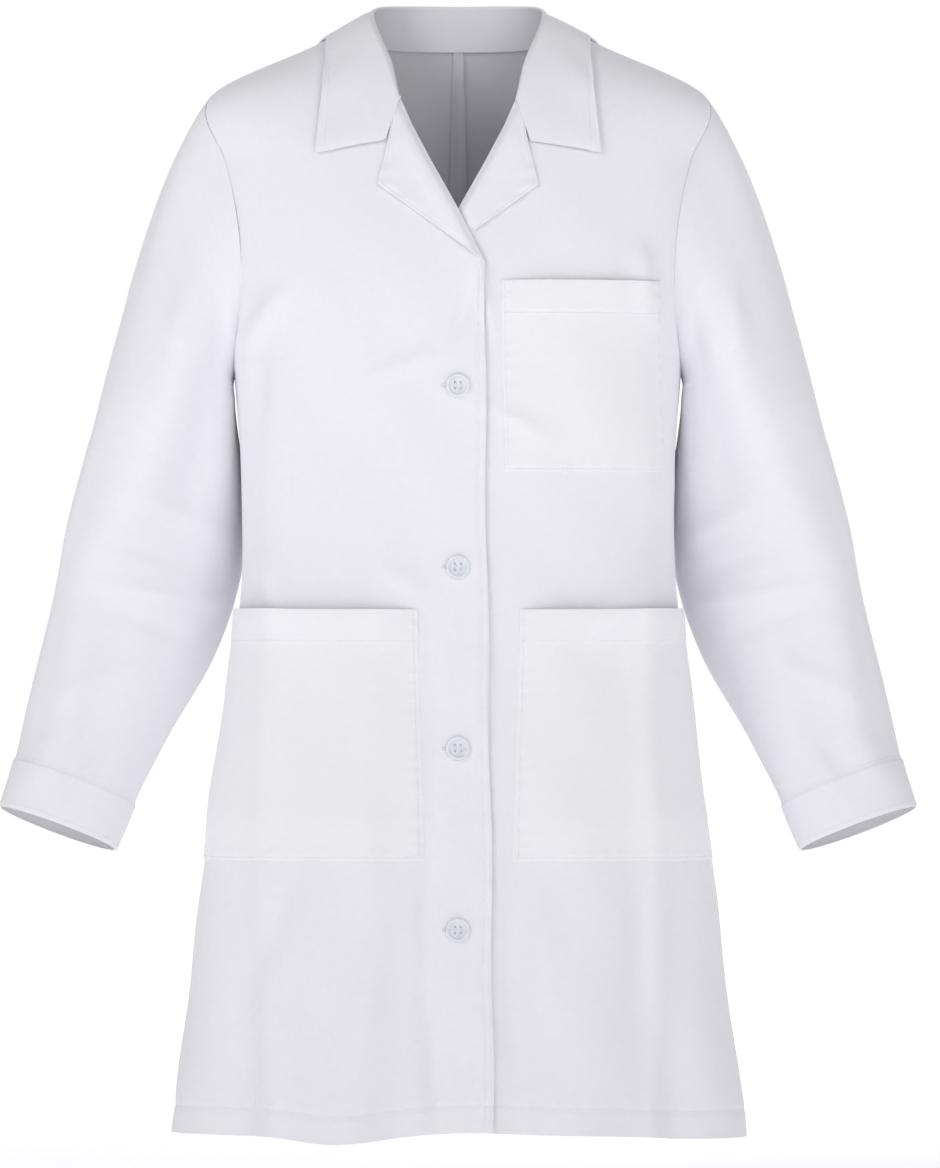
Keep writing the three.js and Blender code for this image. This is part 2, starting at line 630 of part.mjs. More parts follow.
function addSleeves() {
  const gap = SEAM_GAP / 2 / sleeveCentre.getLength();
  const lastPart = sleeveCentre.getPoint(2 * ELBOW_SHARE).distanceTo(sleeveCentre.getPoint(1));
  const cuffShare = 1 - ELBOW_SHARE * CUFF_DEPTH / lastPart;
  const headShare = 0.6;
  for (const [name, side] of SIDES) {
    const placed = (point) => new THREE.Vector3(side * point.x, point.y, point.z);
    add(`${name}_upper_sleeve`, tube(24, 10, (round, along, out) => {
      if (along < headShare) return placed(sleeveHeadPoint(along / headShare, round, CLOTH * out));
      const share = (along - headShare) / (1 - headShare) * (ELBOW_SHARE - gap);
      return placed(sleevePoint(share, round, CLOTH * out));
    }), CLOTH_WHITE);
    add(`${name}_lower_sleeve`, tube(24, 6, (round, along, out) => (
      placed(sleevePoint(lerp(ELBOW_SHARE + gap, cuffShare - gap, along), round, CLOTH * out))
    )), CLOTH_WHITE);
    add(`${name}_cuff`, tube(24, 2, (round, along, out) => (
      placed(sleevePoint(lerp(cuffShare + gap, 1, along), round, CLOTH * out))
    )), CLOTH_WHITE);
  }
}

addBack();
addFrontUppers();
addOpeningFronts();
addButtonholes();
addButtons();
addPockets();
addLapels();
addCollar();
addSleeves();

export default coat;
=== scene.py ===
"""Lab coat: the cloth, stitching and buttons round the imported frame, an add-on that is run as a script.

Metres, +Z up, +X to the wearer's left, -Y to the front. A drop is a distance down from the collar's top,
and an angle runs round the body from 0 at the centre front, through 90 at the left side, to 180 behind.
"""
import math
from functools import partial

import bmesh
import bpy
import numpy as np
from bpy.props import FloatProperty, IntProperty, PointerProperty
from mathutils import Euler, Matrix, Vector


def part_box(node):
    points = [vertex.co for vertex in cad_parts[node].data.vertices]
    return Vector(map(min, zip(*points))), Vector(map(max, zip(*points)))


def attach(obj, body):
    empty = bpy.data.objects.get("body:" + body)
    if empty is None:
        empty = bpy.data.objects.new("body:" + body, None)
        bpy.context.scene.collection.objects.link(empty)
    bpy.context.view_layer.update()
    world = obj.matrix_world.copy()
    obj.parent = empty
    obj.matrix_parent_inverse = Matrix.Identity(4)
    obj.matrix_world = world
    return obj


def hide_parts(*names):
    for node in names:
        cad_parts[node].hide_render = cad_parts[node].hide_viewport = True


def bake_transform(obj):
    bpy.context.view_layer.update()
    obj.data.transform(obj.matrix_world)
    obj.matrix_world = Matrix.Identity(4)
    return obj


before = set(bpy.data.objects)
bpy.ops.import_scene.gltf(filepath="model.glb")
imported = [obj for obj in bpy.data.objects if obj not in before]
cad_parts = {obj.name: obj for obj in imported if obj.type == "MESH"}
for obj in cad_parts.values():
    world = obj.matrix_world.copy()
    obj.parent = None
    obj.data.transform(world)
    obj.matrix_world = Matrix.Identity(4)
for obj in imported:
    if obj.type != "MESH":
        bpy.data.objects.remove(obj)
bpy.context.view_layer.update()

bl_info = {
    "name": "Lab Coat",
    "version": (1, 0, 0),
    "blender": (4, 5, 0),
    "location": "View3D > Sidebar > Lab Coat",
    "description": "Sews a white lab coat round its packed frame",
    "category": "Add Mesh",
}

MM = 0.001
SIDES = (("right", -1), ("left", 1))
CAD_CLOTH = 2 * MM  # the frame's cloth is drawn thicker than it is woven

# ---------------------------------------------------------------- places from the frame


def low(node):
    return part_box(node)[0]


def high(node):
    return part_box(node)[1]


HEM = -low("back_right")[2]
BREAK = -high("right_front")[2]
UNDERARM = BREAK + 83 * MM
SHOULDER = 84 * MM
NECK = 22 * MM
NECKLINE = 40 * MM
HEM_HALF = high("back_left")[0] - CAD_CLOTH
SHOULDER_HALF = 207 * MM
CHEST_HALF = 186 * MM
OVERLAP = high("right_front")[0]
FACING_WIDTH = OVERLAP - low("right_front_facing")[0]
HEM_TURN = high("back_right_hem")[2] - low("back_right_hem")[2]
CUFF_DEPTH = 44 * MM
BUTTON_DROPS = [-(low(f"button_{i}")[2] + high(f"button_{i}")[2]) / 2 for i in range(1, 5)]
BUTTON_RADIUS = (high("button_1")[0] - low("button_1")[0]) / 2
CHEST_POCKET = (low("chest_pocket"), high("chest_pocket"))
HIP_POCKET = (low("left_hip_pocket"), high("left_hip_pocket"))

# ---------------------------------------------------------------- curves


def smooth(value, start, end):
    t = np.clip((value - start) / (end - start), 0, 1)
    return t * t * (3 - 2 * t)


def bump(value, centre, width):
    return np.exp(-((value - centre) / width) ** 2)


def unit(v):
    return v / np.maximum(np.linalg.norm(v, axis=-1, keepdims=True), 1e-12)


def spline(points):
    """A smooth curve through points, as a function of the share of the way along its points."""
    points = np.array(points, float)
    ends = np.vstack([2 * points[0] - points[1], points, 2 * points[-1] - points[-2]])

    def at(share):
        place = np.clip(np.asarray(share, float), 0, 1) * (len(points) - 1)
        index = np.minimum(place.astype(int), len(points) - 2)
        w = (place - index)[..., None]
        p0, p1, p2, p3 = (ends[index + step] for step in range(4))
        spans = ((p0, p1), (p1, p2), (p2, p3))
        d0, d1, d2 = (np.linalg.norm(b - a, axis=-1, keepdims=True) ** 0.5 for a, b in spans)
        leave = ((p1 - p0) / d0 - (p2 - p0) / (d0 + d1) + (p2 - p1) / d1) * d1
        arrive = ((p2 - p1) / d1 - (p3 - p1) / (d1 + d2) + (p3 - p2) / d2) * d1
        bend = -3 * p1 + 3 * p2 - 2 * leave - arrive
        turn = 2 * p1 - 2 * p2 + leave + arrive
        return p1 + leave * w + bend * w * w + turn * w ** 3

    return at


def away(surface, a, b, step_a, step_b):
    """The direction across a surface, measured between neighbouring points."""
    along_a = surface(a + step_a, b) - surface(a - step_a, b)
    along_b = surface(a, b + step_b) - surface(a, b - step_b)
    return unit(np.cross(along_b, along_a))


# ---------------------------------------------------------------- the body's shape

SQUARENESS = 2.7  # 2 is an ellipse, more is flatter in front
STATIONS = np.array([  # drop, half width, front depth, back depth
    (NECK, 0.080, 0.034, 0.042),
    (NECKLINE, 0.117, 0.047, 0.058),
    (SHOULDER, SHOULDER_HALF, 0.074, 0.076),
    (0.140, SHOULDER_HALF + 0.001, 0.096, 0.088),
    (BREAK, 0.2007, 0.113, 0.094),
    (UNDERARM, CHEST_HALF, 0.115, 0.096),
    (0.480, 0.181, 0.106, 0.090),
    (0.700, 0.209, 0.114, 0.104),
    (HEM, HEM_HALF, 0.122, 0.116),
])


def body_size(drop, column):
    """One column of the stations at any drop, as a smooth curve."""
    drops, values = STATIONS[:, 0], STATIONS[:, column]
    slopes = np.gradient(values, drops)
    slopes[1:-1] = (values[2:] - values[:-2]) / (drops[2:] - drops[:-2])
    drop = np.clip(np.asarray(drop, float), NECK, None)
    index = np.clip(np.searchsorted(drops, drop) - 1, 0, len(drops) - 2)
    run = drops[index + 1] - drops[index]
    t = (drop - drops[index]) / run
    ease = t * t * (3 - 2 * t)
    leave = t * (1 - t) ** 2 * run * slopes[index]
    arrive = t * t * (t - 1) * run * slopes[index + 1]
    return values[index] + (values[index + 1] - values[index]) * ease + leave + arrive


def skin(angle, drop):
    """Points of the bare body: angle in degrees, drop in metres."""
    turn = np.radians(angle)
    side, ahead = np.sin(turn), np.cos(turn)
    depth = np.where(ahead > 0, body_size(drop, 2), body_size(drop, 3))
    x = body_size(drop, 1) * np.sign(side) * np.abs(side) ** (2 / SQUARENESS)
    y = -depth * np.sign(ahead) * np.abs(ahead) ** (2 / SQUARENESS)
    return np.stack([x, y, -np.broadcast_to(drop, x.shape)], -1)


def angle_at(x, drop):
    share = np.clip(np.abs(x) / body_size(drop, 1), 0, 1)
    return np.sign(x) * np.degrees(np.arcsin(share ** (SQUARENESS / 2)))


# Equal steps of angle are unequal steps of cloth, so sheets are spaced by the girth at the waist.
GIRTH_ANGLES = np.linspace(-360, 360, 5761)
GIRTH = np.concatenate([[0], np.cumsum(np.linalg.norm(np.diff(skin(GIRTH_ANGLES, 0.5), axis=0), axis=1))])


def girth_at(angle):
    return np.interp(angle, GIRTH_ANGLES, GIRTH)


def angle_of(girth):
    return np.interp(girth, GIRTH, GIRTH_ANGLES)


# ---------------------------------------------------------------- folds in the cloth

# Soft ridges (+) and valleys (-) that run down the coat: place across at the top and at the hem, width,
# height, and the drops between which each one grows.
FRONT_FOLDS = (
    (-0.100, -0.098, 0.036, 0.0100, 0.46, 0.95),
    (-0.026, -0.020, 0.010, -0.0032, 0.34, 0.90),
    (-0.172, -0.185, 0.024, -0.0060, 0.60, 0.95),
    (0.085, 0.105, 0.036, 0.0080, 0.55, 0.95),
    (0.044, 0.052, 0.014, -0.0038, 0.60, 0.95),
    (0.168, 0.178, 0.022, -0.0050, 0.60, 0.95),
    (0.150, 0.168, 0.012, 0.0030, 0.26, 0.52),
    (-0.152, -0.160, 0.012, 0.0030, 0.26, 0.52),
    (-0.066, -0.078, 0.018, 0.0024, 0.26, 0.56),
    (0.020, 0.030, 0.013, 0.0018, 0.36, 0.60),
)
BACK_FOLDS = (
    (0.000, 0.000, 0.050, 0.0050, 0.30, 0.95),
    (0.070, 0.085, 0.022, -0.0060, 0.34, 0.95),
    (-0.075, -0.088, 0.024, -0.0065, 0.38, 0.95),
    (0.120, 0.150, 0.030, 0.0070, 0.45, 0.95),
    (-0.125, -0.150, 0.030, 0.0065, 0.42, 0.95),
)
FOLD_DEPTH = 1.75  # how strongly all these folds show
# Short creases that start from a point: place, drop, heading in degrees, length, width, height.
CREASES = (
    (0.018, 0.232, -68, 0.075, 0.0060, 0.0022),
    (0.010, 0.246, -100, 0.060, 0.0070, -0.0020),
    (-0.020, 0.300, -150, 0.070, 0.0080, 0.0016),
    (0.030, 0.345, -20, 0.070, 0.0080, 0.0014),
    (-0.150, 0.250, -110, 0.080, 0.0100, 0.0030),
    (-0.165, 0.290, -80, 0.100, 0.0090, -0.0030),
    (0.152, 0.215, -75, 0.080, 0.0100, 0.0028),
    (0.168, 0.430, -95, 0.090, 0.0110, -0.0028),
    (-0.160, 0.470, -60, 0.080, 0.0120, 0.0026),
    (0.150, 0.500, -130, 0.070, 0.0110, 0.0020),
    (-0.060, 0.480, -20, 0.060, 0.0120, 0.0014),
    (0.070, 0.760, -80, 0.120, 0.0130, 0.0026),
    (-0.060, 0.780, -95, 0.140, 0.0130, 0.0026),
    (-0.140, 0.740, -100, 0.120, 0.0120, -0.0024),
    (0.150, 0.760, -85, 0.120, 0.0120, -0.0024),
)


def crease_run(across, down, crease):
    """A short fold from a point, given on any pair of flat coordinates."""
    start_x, start_drop, heading, length, width, height = crease
    turn = math.radians(heading)
    along = (across - start_x) * math.cos(turn) - (down - start_drop) * math.sin(turn)
    off = (across - start_x) * math.sin(turn) + (down - start_drop) * math.cos(turn)
    fade = smooth(along, -0.25 * length, 0.2 * length) * (1 - smooth(along, 0.3 * length, length))
    return height * fade * bump(off, 0.15 * along, width)


def folds(angle, drop):
    """How far the cloth stands off the body's smooth shape."""
    x = skin(angle, drop)[..., 0]
    ahead = np.cos(np.radians(angle)) > 0
    total = np.zeros_like(x)
    for faces_here, table in ((ahead, FRONT_FOLDS), (~ahead, BACK_FOLDS)):
        for top_x, hem_x, width, height, start, full in table:
            run = np.clip((drop - start) / (HEM - start), 0, 1)
            line = top_x + (hem_x - top_x) * run + 0.004 * np.sin(drop * 17 + top_x * 90)
            total += faces_here * height * smooth(drop, start, full) * bump(x, line, width)
    for crease in CREASES:
        total += ahead * crease_run(x, drop, crease)
    slow = 0.0012 * np.sin(drop * 21 + np.sin(x * 31)) * np.sin(x * 38 + drop * 6)
    slow = slow + 0.0006 * np.sin(drop * 47 - x * 70)
    return FOLD_DEPTH * total + slow * smooth(drop, 0.06, 0.25)


def hem_wave(x):
    """How much lower the hem hangs at each place across."""
    return 0.0075 * bump(x, -0.100, 0.045) - 0.0025 * bump(x, 0.010, 0.050) + 0.004 * bump(x, 0.230, 0.080)


def on_body(angle, drop, lift=0.0):
    """Points on the worn cloth, lifted off it by a distance."""
    base = skin(angle, drop)
    out = away(skin, angle, drop, 0.4, 0.0008)
    points = base + out * np.expand_dims(lift + folds(angle, drop), -1)
    points[..., 2] -= hem_wave(base[..., 0]) * smooth(drop, 0.80, HEM)
    return points


def stand_clear(points, clearance):
    """Moves points out until they stand clear of the worn cloth."""
    drop = np.maximum(-points[..., 2], NECK + 1 * MM)
    depth = np.where(points[..., 1] < 0, body_size(drop, 2), body_size(drop, 3))
    side = np.sign(points[..., 0]) * (np.abs(points[..., 0]) / body_size(drop, 1)) ** (SQUARENESS / 2)
    ahead = np.sign(-points[..., 1]) * (np.abs(points[..., 1]) / depth) ** (SQUARENESS / 2)
    angle = np.degrees(np.arctan2(side, ahead))
    out = away(skin, angle, drop, 0.4, 0.0008)
    gap = ((points - skin(angle, drop)) * out).sum(-1) - folds(angle, drop)
    return points + out * np.expand_dims(np.maximum(clearance - gap, 0), -1)


# ---------------------------------------------------------------- seams and edges

FRONT_SCOOP = 30  # degrees that the armhole cuts into the front
BACK_SCOOP = 24
LAPEL_TOP = 88 * MM
UNDER_LIFT = 1.2 * MM  # the cloth's outer face, off the body's smooth shape
OVER_LIFT = 3.6 * MM  # how much further out the upper front runs where the two overlap


def armhole_angle(drop, scoop):
    share = np.clip((drop - SHOULDER) / (UNDERARM - SHOULDER), 0, 1)
    return 90 + scoop * np.sin(np.pi * share) ** 0.6


def roll_x(drop):
    """Half width of the open neck: the lapels fold along it."""
    return np.interp(drop, [NECK, 0.050, LAPEL_TOP, 0.110, 0.140, 0.180, BREAK],
                     [0.0720, 0.0605, 0.0480, 0.0385, 0.0225, 0.0, -OVERLAP + 1 * MM])


def lapel_edge_x(drop):
    return np.interp(drop, [LAPEL_TOP, 0.124, 0.160, BREAK], [0.052, 0.058, 0.067, -OVERLAP + 3 * MM])


def front_edge_x(drop):
    """The front's free edge below the break, and the lapel's fold above it."""
    wave = 0.0009 * np.sin(drop * 33) * smooth(drop, BREAK, BREAK + 0.05)
    lean = -0.007 * smooth(drop, BREAK, HEM)
    return np.where(drop < BREAK, roll_x(drop), -OVERLAP + wave + lean)


def over(side, x):
    """The right front lies over the left one."""
    return 0.0 if side > 0 else OVER_LIFT * smooth(x, -0.110, -0.040)


def body_sheet(near, far, top, bottom, lift):
    """A surface on the body between two edges, given as angles at each drop.

    lift(x, near_gap, far_gap, top_gap, bottom_gap) is its height; the gaps are distances from its edges.
    """
    def surface(across, down):
        starts = top(across) if callable(top) else top
        drop = starts + (bottom - starts) * down
        first, last = girth_at(near(drop)), girth_at(far(drop))
        girth = first + (last - first) * across
        angle = angle_of(girth)
        x = skin(angle, drop)[..., 0]
        gaps = (np.abs(girth - first), np.abs(last - girth), drop - starts, bottom - drop)
        return on_body(angle, drop, lift(x, *gaps))

    return surface


def at_x(side, place):
    """An edge at a distance from the centre line, towards one side."""
    return lambda drop: angle_at(side * (place(drop) if callable(place) else place), drop)


def seam(gap, place, depth=0.8 * MM, width=2.0 * MM):
    """The groove that a row of stitches presses into cloth."""
    return -depth * bump(gap, place, width)


def pucker(along, gap, place, height=0.3 * MM, length=13 * MM):
    """The slight waves that a row of stitches draws up beside it."""
    wave = np.sin(along * 2 * np.pi / length + 2.2 * np.sin(along * 2 * np.pi / (4.3 * length)))
    return height * wave * bump(gap, place, 9 * MM)


# ---------------------------------------------------------------- the coat's surfaces


def front_surface(side):
    def lift(x, near_gap, far_gap, top_gap, bottom_gap):
        height = UNDER_LIFT + over(side, x)
        free = bottom_gap < HEM - BREAK  # the edge above the break is the lapel's fold
        height = height + free * (seam(near_gap, 6 * MM) + seam(near_gap, 0, 0.6 * MM, 1.2 * MM))
        height = height + free * pucker(bottom_gap, near_gap, 4 * MM, 0.45 * MM, 34 * MM)
        height = height + seam(bottom_gap, HEM_TURN) + pucker(x, bottom_gap, HEM_TURN, 0.5 * MM, 19 * MM)
        return height + seam(far_gap, 0, 1.2 * MM, 4 * MM)

    return body_sheet(
        at_x(side, front_edge_x), lambda drop: side * armhole_angle(drop, -FRONT_SCOOP),
        NECK + 4 * MM, HEM, lift)


def back_surface():
    def lift(x, near_gap, far_gap, top_gap, bottom_gap):
        height = UNDER_LIFT + seam(bottom_gap, HEM_TURN) + pucker(x, bottom_gap, HEM_TURN, 0.5 * MM, 19 * MM)
        pleat = smooth(top_gap, 0.0, 0.30)
        height = height - bump(x, 0, 1.8 * MM) * (0.7 * MM + 2.5 * MM * pleat)
        height = height + 1.2 * MM * pleat * (bump(x, 7 * MM, 5 * MM) + bump(x, -7 * MM, 5 * MM))
        edges = seam(near_gap, 0, 1.2 * MM, 4 * MM) + seam(far_gap, 0, 1.2 * MM, 4 * MM)
        return height + edges

    def top(across):
        return NECKLINE - 14 * MM * np.abs(2 * across - 1) ** 2.2

    return body_sheet(
        lambda drop: armhole_angle(drop, BACK_SCOOP), lambda drop: 360 - armhole_angle(drop, BACK_SCOOP),
        top, HEM, lift)


def facing_surface(side):
    return body_sheet(
        at_x(side, lambda drop: front_edge_x(drop) + 0.6 * MM),
        at_x(side, lambda drop: FACING_WIDTH - OVERLAP + 0 * drop),
        BREAK + 1 * MM, HEM - 1 * MM,
        lambda x, *gaps: UNDER_LIFT + over(side, x) - 1.5 * MM)


SEAM_GAP = 0.3  # degrees that the turned-up hems stop short of the side seams


def side_seam(side, drop):
    return side * (90 - SEAM_GAP) + 0 * drop


def hem_surface(near, far, side):
    def lift(x, near_gap, far_gap, top_gap, bottom_gap):
        return UNDER_LIFT + over(side, x) - 1.5 * MM - 0.5 * MM * bump(bottom_gap, HEM_TURN, 6 * MM)

    return body_sheet(near, far, HEM - HEM_TURN, HEM - 0.4 * MM, lift)


PLEAT_HALF = 9 * MM


def pleat_surface():
    def half(drop):
        return PLEAT_HALF * smooth(drop, -0.2, 0.30)

    def lift(x, near_gap, far_gap, top_gap, bottom_gap):
        step = smooth(x + 0.004, -2 * MM, 6 * MM) * smooth(top_gap, 0, 0.02)
        return UNDER_LIFT - 1.6 * MM - 2.2 * MM * step

    return body_sheet(
        lambda drop: 180 - angle_at(half(drop), drop), lambda drop: 180 + angle_at(half(drop), drop),
        NECKLINE + 2 * MM, HEM - HEM_TURN, lift)


def lapel_surface(side):
    def lift(x, near_gap, far_gap, top_gap, bottom_gap):
        rolled = smooth(near_gap, -1 * MM, 6 * MM)
        past_right_front = x + roll_x(LAPEL_TOP + top_gap)
        covered = 0.0 if side < 0 else 1 - smooth(past_right_front, 0, 9 * MM)
        roll = 3.4 * MM * rolled + 2.2 * MM * bump(near_gap, 9 * MM, 8 * MM) * smooth(top_gap, 0, 0.03)
        height = UNDER_LIFT + over(side, x) - 0.4 * MM + roll + covered * (1.6 * MM * rolled - roll)
        height = height + seam(far_gap, 4 * MM, 0.4 * MM) - 0.8 * MM * bump(far_gap, 0, 1.6 * MM)
        return height + pucker(top_gap, far_gap, 3 * MM, 0.35 * MM, 17 * MM)

    return body_sheet(at_x(side, roll_x), at_x(side, lapel_edge_x), LAPEL_TOP, BREAK + 4 * MM, lift)


POCKET_BAND = 28 * MM
POCKET_THICKNESS = 0.7 * MM
LAYER = 0.5 * MM  # a facing, hem turning or pleat underlay, pressed flat
CHEST_POCKET_WIDTH = 132 * MM
SIDE_POCKET_ANGLE = 89.0  # the hip pockets end just short of the side seams


def pocket_lift(side, belly, mouth):
    def lift(x, near_gap, far_gap, top_gap, bottom_gap):
        sides = np.minimum(near_gap, far_gap)
        inner = smooth(sides, 0, 30 * MM) * smooth(bottom_gap, 0, 40 * MM)
        height = UNDER_LIFT + over(side, x) + 1.1 * MM + belly * inner
        height = height + mouth * smooth(sides, 2 * MM, 45 * MM) * bump(top_gap, 0, 22 * MM)
        height = height + 0.6 * MM * (1 - smooth(top_gap, POCKET_BAND - 0.6 * MM, POCKET_BAND + 0.6 * MM))
        height = height + seam(top_gap, POCKET_BAND - 1.4 * MM, 0.4 * MM, 1.2 * MM)
        for gap, along in ((near_gap, top_gap), (far_gap, top_gap), (bottom_gap, near_gap)):
            height = height + seam(gap, 2.6 * MM, 0.55 * MM, 1.3 * MM) - 0.9 * MM * bump(gap, 0, 1.0 * MM)
            height = height + pucker(along, gap, 3 * MM, 0.35 * MM, 15 * MM)
        return height

    return lift


def chest_pocket_surface():
    (x0, _, z0), (_, _, z1) = CHEST_POCKET

    def lean(drop):
        return 2.5 * MM * smooth(drop, -z1, -z0)

    return body_sheet(
        at_x(1, lambda drop: x0 + lean(drop)), at_x(1, lambda drop: x0 + CHEST_POCKET_WIDTH + lean(drop)),
        -z1, -z0, pocket_lift(1, 1.6 * MM, 2.4 * MM))


def hip_pocket_surface(side):
    (x0, _, z0), (_, _, z1) = HIP_POCKET
    shift = 9 * MM * side
    near = at_x(side, lambda drop: x0 + shift - 5 * MM * smooth(drop, -z1, -z0))
    lift = pocket_lift(side, 3.0 * MM, 4.5 * MM)
    return body_sheet(near, lambda drop: side * SIDE_POCKET_ANGLE + 0 * drop, -z1, -z0, lift)


# ---------------------------------------------------------------- the collar's surface

COLLAR_HALF = 72 * MM
COLLAR_TOP = 4 * MM
COLLAR_POINT = (118 * MM, 133 * MM)
NOTCH = (60 * MM, 124 * MM)
STAND_SHARE = 0.3  # of the sheet's rows, which climb inside the neck before the collar turns over
COLLAR_CLEAR = 5.2 * MM


def front_place(x, drop, lift):
    drop = np.array(float(drop))
    return on_body(angle_at(np.array(x), drop), drop, lift)


def round_neck(right_half, back):
    """A curve from the right front, round the back of the neck, to the left front."""
    left_half = [np.array(p) * (-1, 1, 1) for p in reversed(right_half)]
    return spline([*right_half, back, *left_half])


def collar_lines():
    top_x = float(roll_x(LAPEL_TOP))
    half = COLLAR_HALF
    roll = round_neck([
        front_place(-top_x, LAPEL_TOP, 4.5 * MM),
        front_place(-(top_x + (half - top_x) * 0.45), 0.056, 6 * MM),
        np.array((-half, -0.016, -0.020)),
        np.array((-half + 0.002, 0.022, -COLLAR_TOP - 0.003)),
        np.array((-0.6 * half, 0.052, -COLLAR_TOP)),
    ], np.array((0, 0.063, -COLLAR_TOP)))
    x, drop = COLLAR_POINT
    rim = round_neck([
        front_place(-x, drop, 6 * MM + over(-1, -x)),
        front_place(-x + 0.004, drop + (SHOULDER - drop) * 0.8, 6 * MM),
        front_place(-x + 0.008, drop + (NECKLINE - drop) * 0.8, 6 * MM),
        on_body(np.array(-92.0), np.array(0.0355), 5 * MM),
        on_body(np.array(-136.0), np.array(0.0560), 5 * MM),
    ], on_body(np.array(180.0), np.array(0.066), 6 * MM))
    neck = round_neck([
        front_place(-top_x, LAPEL_TOP, 0.8 * MM),
        front_place(-float(roll_x(0.056)), 0.056, 0.8 * MM),
        on_body(np.array(-89.0), np.array(NECK + 0.005), 0.8 * MM),
        on_body(np.array(-126.0), np.array(0.035), 0.8 * MM),
        on_body(np.array(-156.0), np.array(0.042), 0.8 * MM),
    ], on_body(np.array(180.0), np.array(NECKLINE + 0.004), 0.8 * MM))
    return roll, rim, neck


def end_edge(end):
    """The collar's straight front edges: from the gorge down to the notch, and out to its point."""
    corners = np.array([
        front_place(end * float(roll_x(LAPEL_TOP)), LAPEL_TOP, 4.5 * MM),
        front_place(end * NOTCH[0], NOTCH[1], 5 * MM + over(end, end * NOTCH[0])),
        front_place(end * COLLAR_POINT[0], COLLAR_POINT[1], 6 * MM + over(end, end * COLLAR_POINT[0])),
    ])
    reach = np.cumsum([0, *np.linalg.norm(np.diff(corners, axis=0), axis=1)])

    def edge(share):
        return np.stack([np.interp(share * reach[-1], reach, corners[:, axis]) for axis in range(3)], -1)

    return edge


def collar_surface():
    roll, rim, neck = collar_lines()
    edges = {end: end_edge(end) for end in (-1, 1)}

    def fall(across, down):
        top, bottom = roll(across), rim(across)
        run = roll(np.clip(across + 0.002, 0, 1)) - roll(np.clip(across - 0.002, 0, 1))
        swell = unit(np.cross(bottom - top, run))
        edge = np.maximum(0, 1 - np.minimum(across, 1 - across) / 0.14) ** 2
        straight = np.where((across < 0.5)[..., None], edges[-1](down), edges[1](down))
        arc = 4 * down * (1 - down)
        place = top + (bottom - top) * down[..., None]
        place = place + (straight - place) * edge[..., None]
        place = place + swell * (6 * MM * arc * (1 - edge))[..., None]
        lifted = np.where(place[..., 0] < 0, over(-1, place[..., 0]), 0)
        ease = COLLAR_CLEAR + lifted + 0.8 * MM * np.sin(across * 60) * down
        return stand_clear(stand_clear(place, ease), ease)

    def stand(across, up):
        top, bottom = roll(across), neck(across)
        inward = unit(np.stack([-top[..., 0], 0.008 - top[..., 1], 0 * up], -1))
        reach = np.minimum(1, np.minimum(across, 1 - across) / 0.08)[..., None]
        point = bottom + (top - bottom) * up[..., None]
        return point + inward * (3.2 * MM + 1.5 * MM * up[..., None]) * reach

    def surface(across, down):
        up = np.clip(down / STAND_SHARE, 0, 1)
        turned = np.clip((down - STAND_SHARE) / (1 - STAND_SHARE), 0, 1)
        return np.where((down < STAND_SHARE)[..., None], stand(across, up), fall(across, turned))

    return surface


# ---------------------------------------------------------------- the sleeves' surface

SLEEVE_LENGTH = 392 * MM
SLEEVE_SPLAY = 92 * MM
BICEP_OUT = CHEST_HALF + 7 * MM + 54 * MM * math.cos(math.radians(20))
CAP = (38 * MM, 0, -46 * MM)  # how the sleeve head swells past the shoulder tip
HEAD_SHARE = 0.3  # of the sleeve's length, from the armhole to the underarm's level
sleeve_centre = spline([
    (BICEP_OUT + out * SLEEVE_SPLAY, back * MM, -UNDERARM - down * SLEEVE_LENGTH)
    for out, back, down in ((0, 8, 0.07), (0.15, 28, 0.43), (0.62, 12, 0.76), (1, -2, 1))])
sleeve_sizes = spline([  # half width and half depth in millimetres, and twist in degrees
    (54, 60, 20), (79, 43, 22), (60, 40, 10), (50, 37, 0)])
ELBOW = 1 / 3
SPLIT = 0.21  # where the upper and the lower sleeve meet, as a share of the way from underarm to cuff
WRIST_RUN = float(np.linalg.norm(sleeve_centre(np.array(1.0)) - sleeve_centre(np.array(2 / 3))))
CUFF_SHARE = 1 - CUFF_DEPTH / WRIST_RUN / 3
CUFF_LIFT = 1.5 * MM  # how far the doubled cuff stands off the sleeve

SLEEVE_HEAD_SIZE = (0.38, 0.27)  # of its map, in metres of cloth

SLEEVE_FOLDS = (  # angle round, width in degrees, height, and the shares of the length that it spans
    (62, 20, 0.0060, 0.10, 0.62),
    (100, 16, -0.0060, 0.05, 0.50),
    (128, 14, 0.0045, 0.18, 0.60),
    (20, 18, -0.0030, 0.30, 0.80),
    (75, 15, -0.0045, 0.55, 0.95),
    (45, 16, 0.0040, 0.60, 0.98),
    (250, 24, -0.0060, 0.15, 0.70),
    (215, 20, 0.0050, 0.20, 0.90),
    (300, 24, 0.0045, 0.40, 0.95),
    (160, 18, -0.0045, 0.62, 0.95),
)
SLEEVE_CREASES = (  # across in metres of cloth from the outer end, share down in metres, then as on the coat
    (0.130, 0.300, 160, 0.100, 0.010, 0.0040),
    (0.125, 0.330, 175, 0.090, 0.009, -0.0030),
    (0.135, 0.350, 200, 0.110, 0.010, 0.0045),
    (0.120, 0.385, 190, 0.080, 0.009, -0.0030),
    (0.060, 0.470, 60, 0.090, 0.011, 0.0030),
    (0.100, 0.560, 100, 0.060, 0.008, 0.0025),
    (0.070, 0.120, -70, 0.090, 0.010, 0.0030),
)


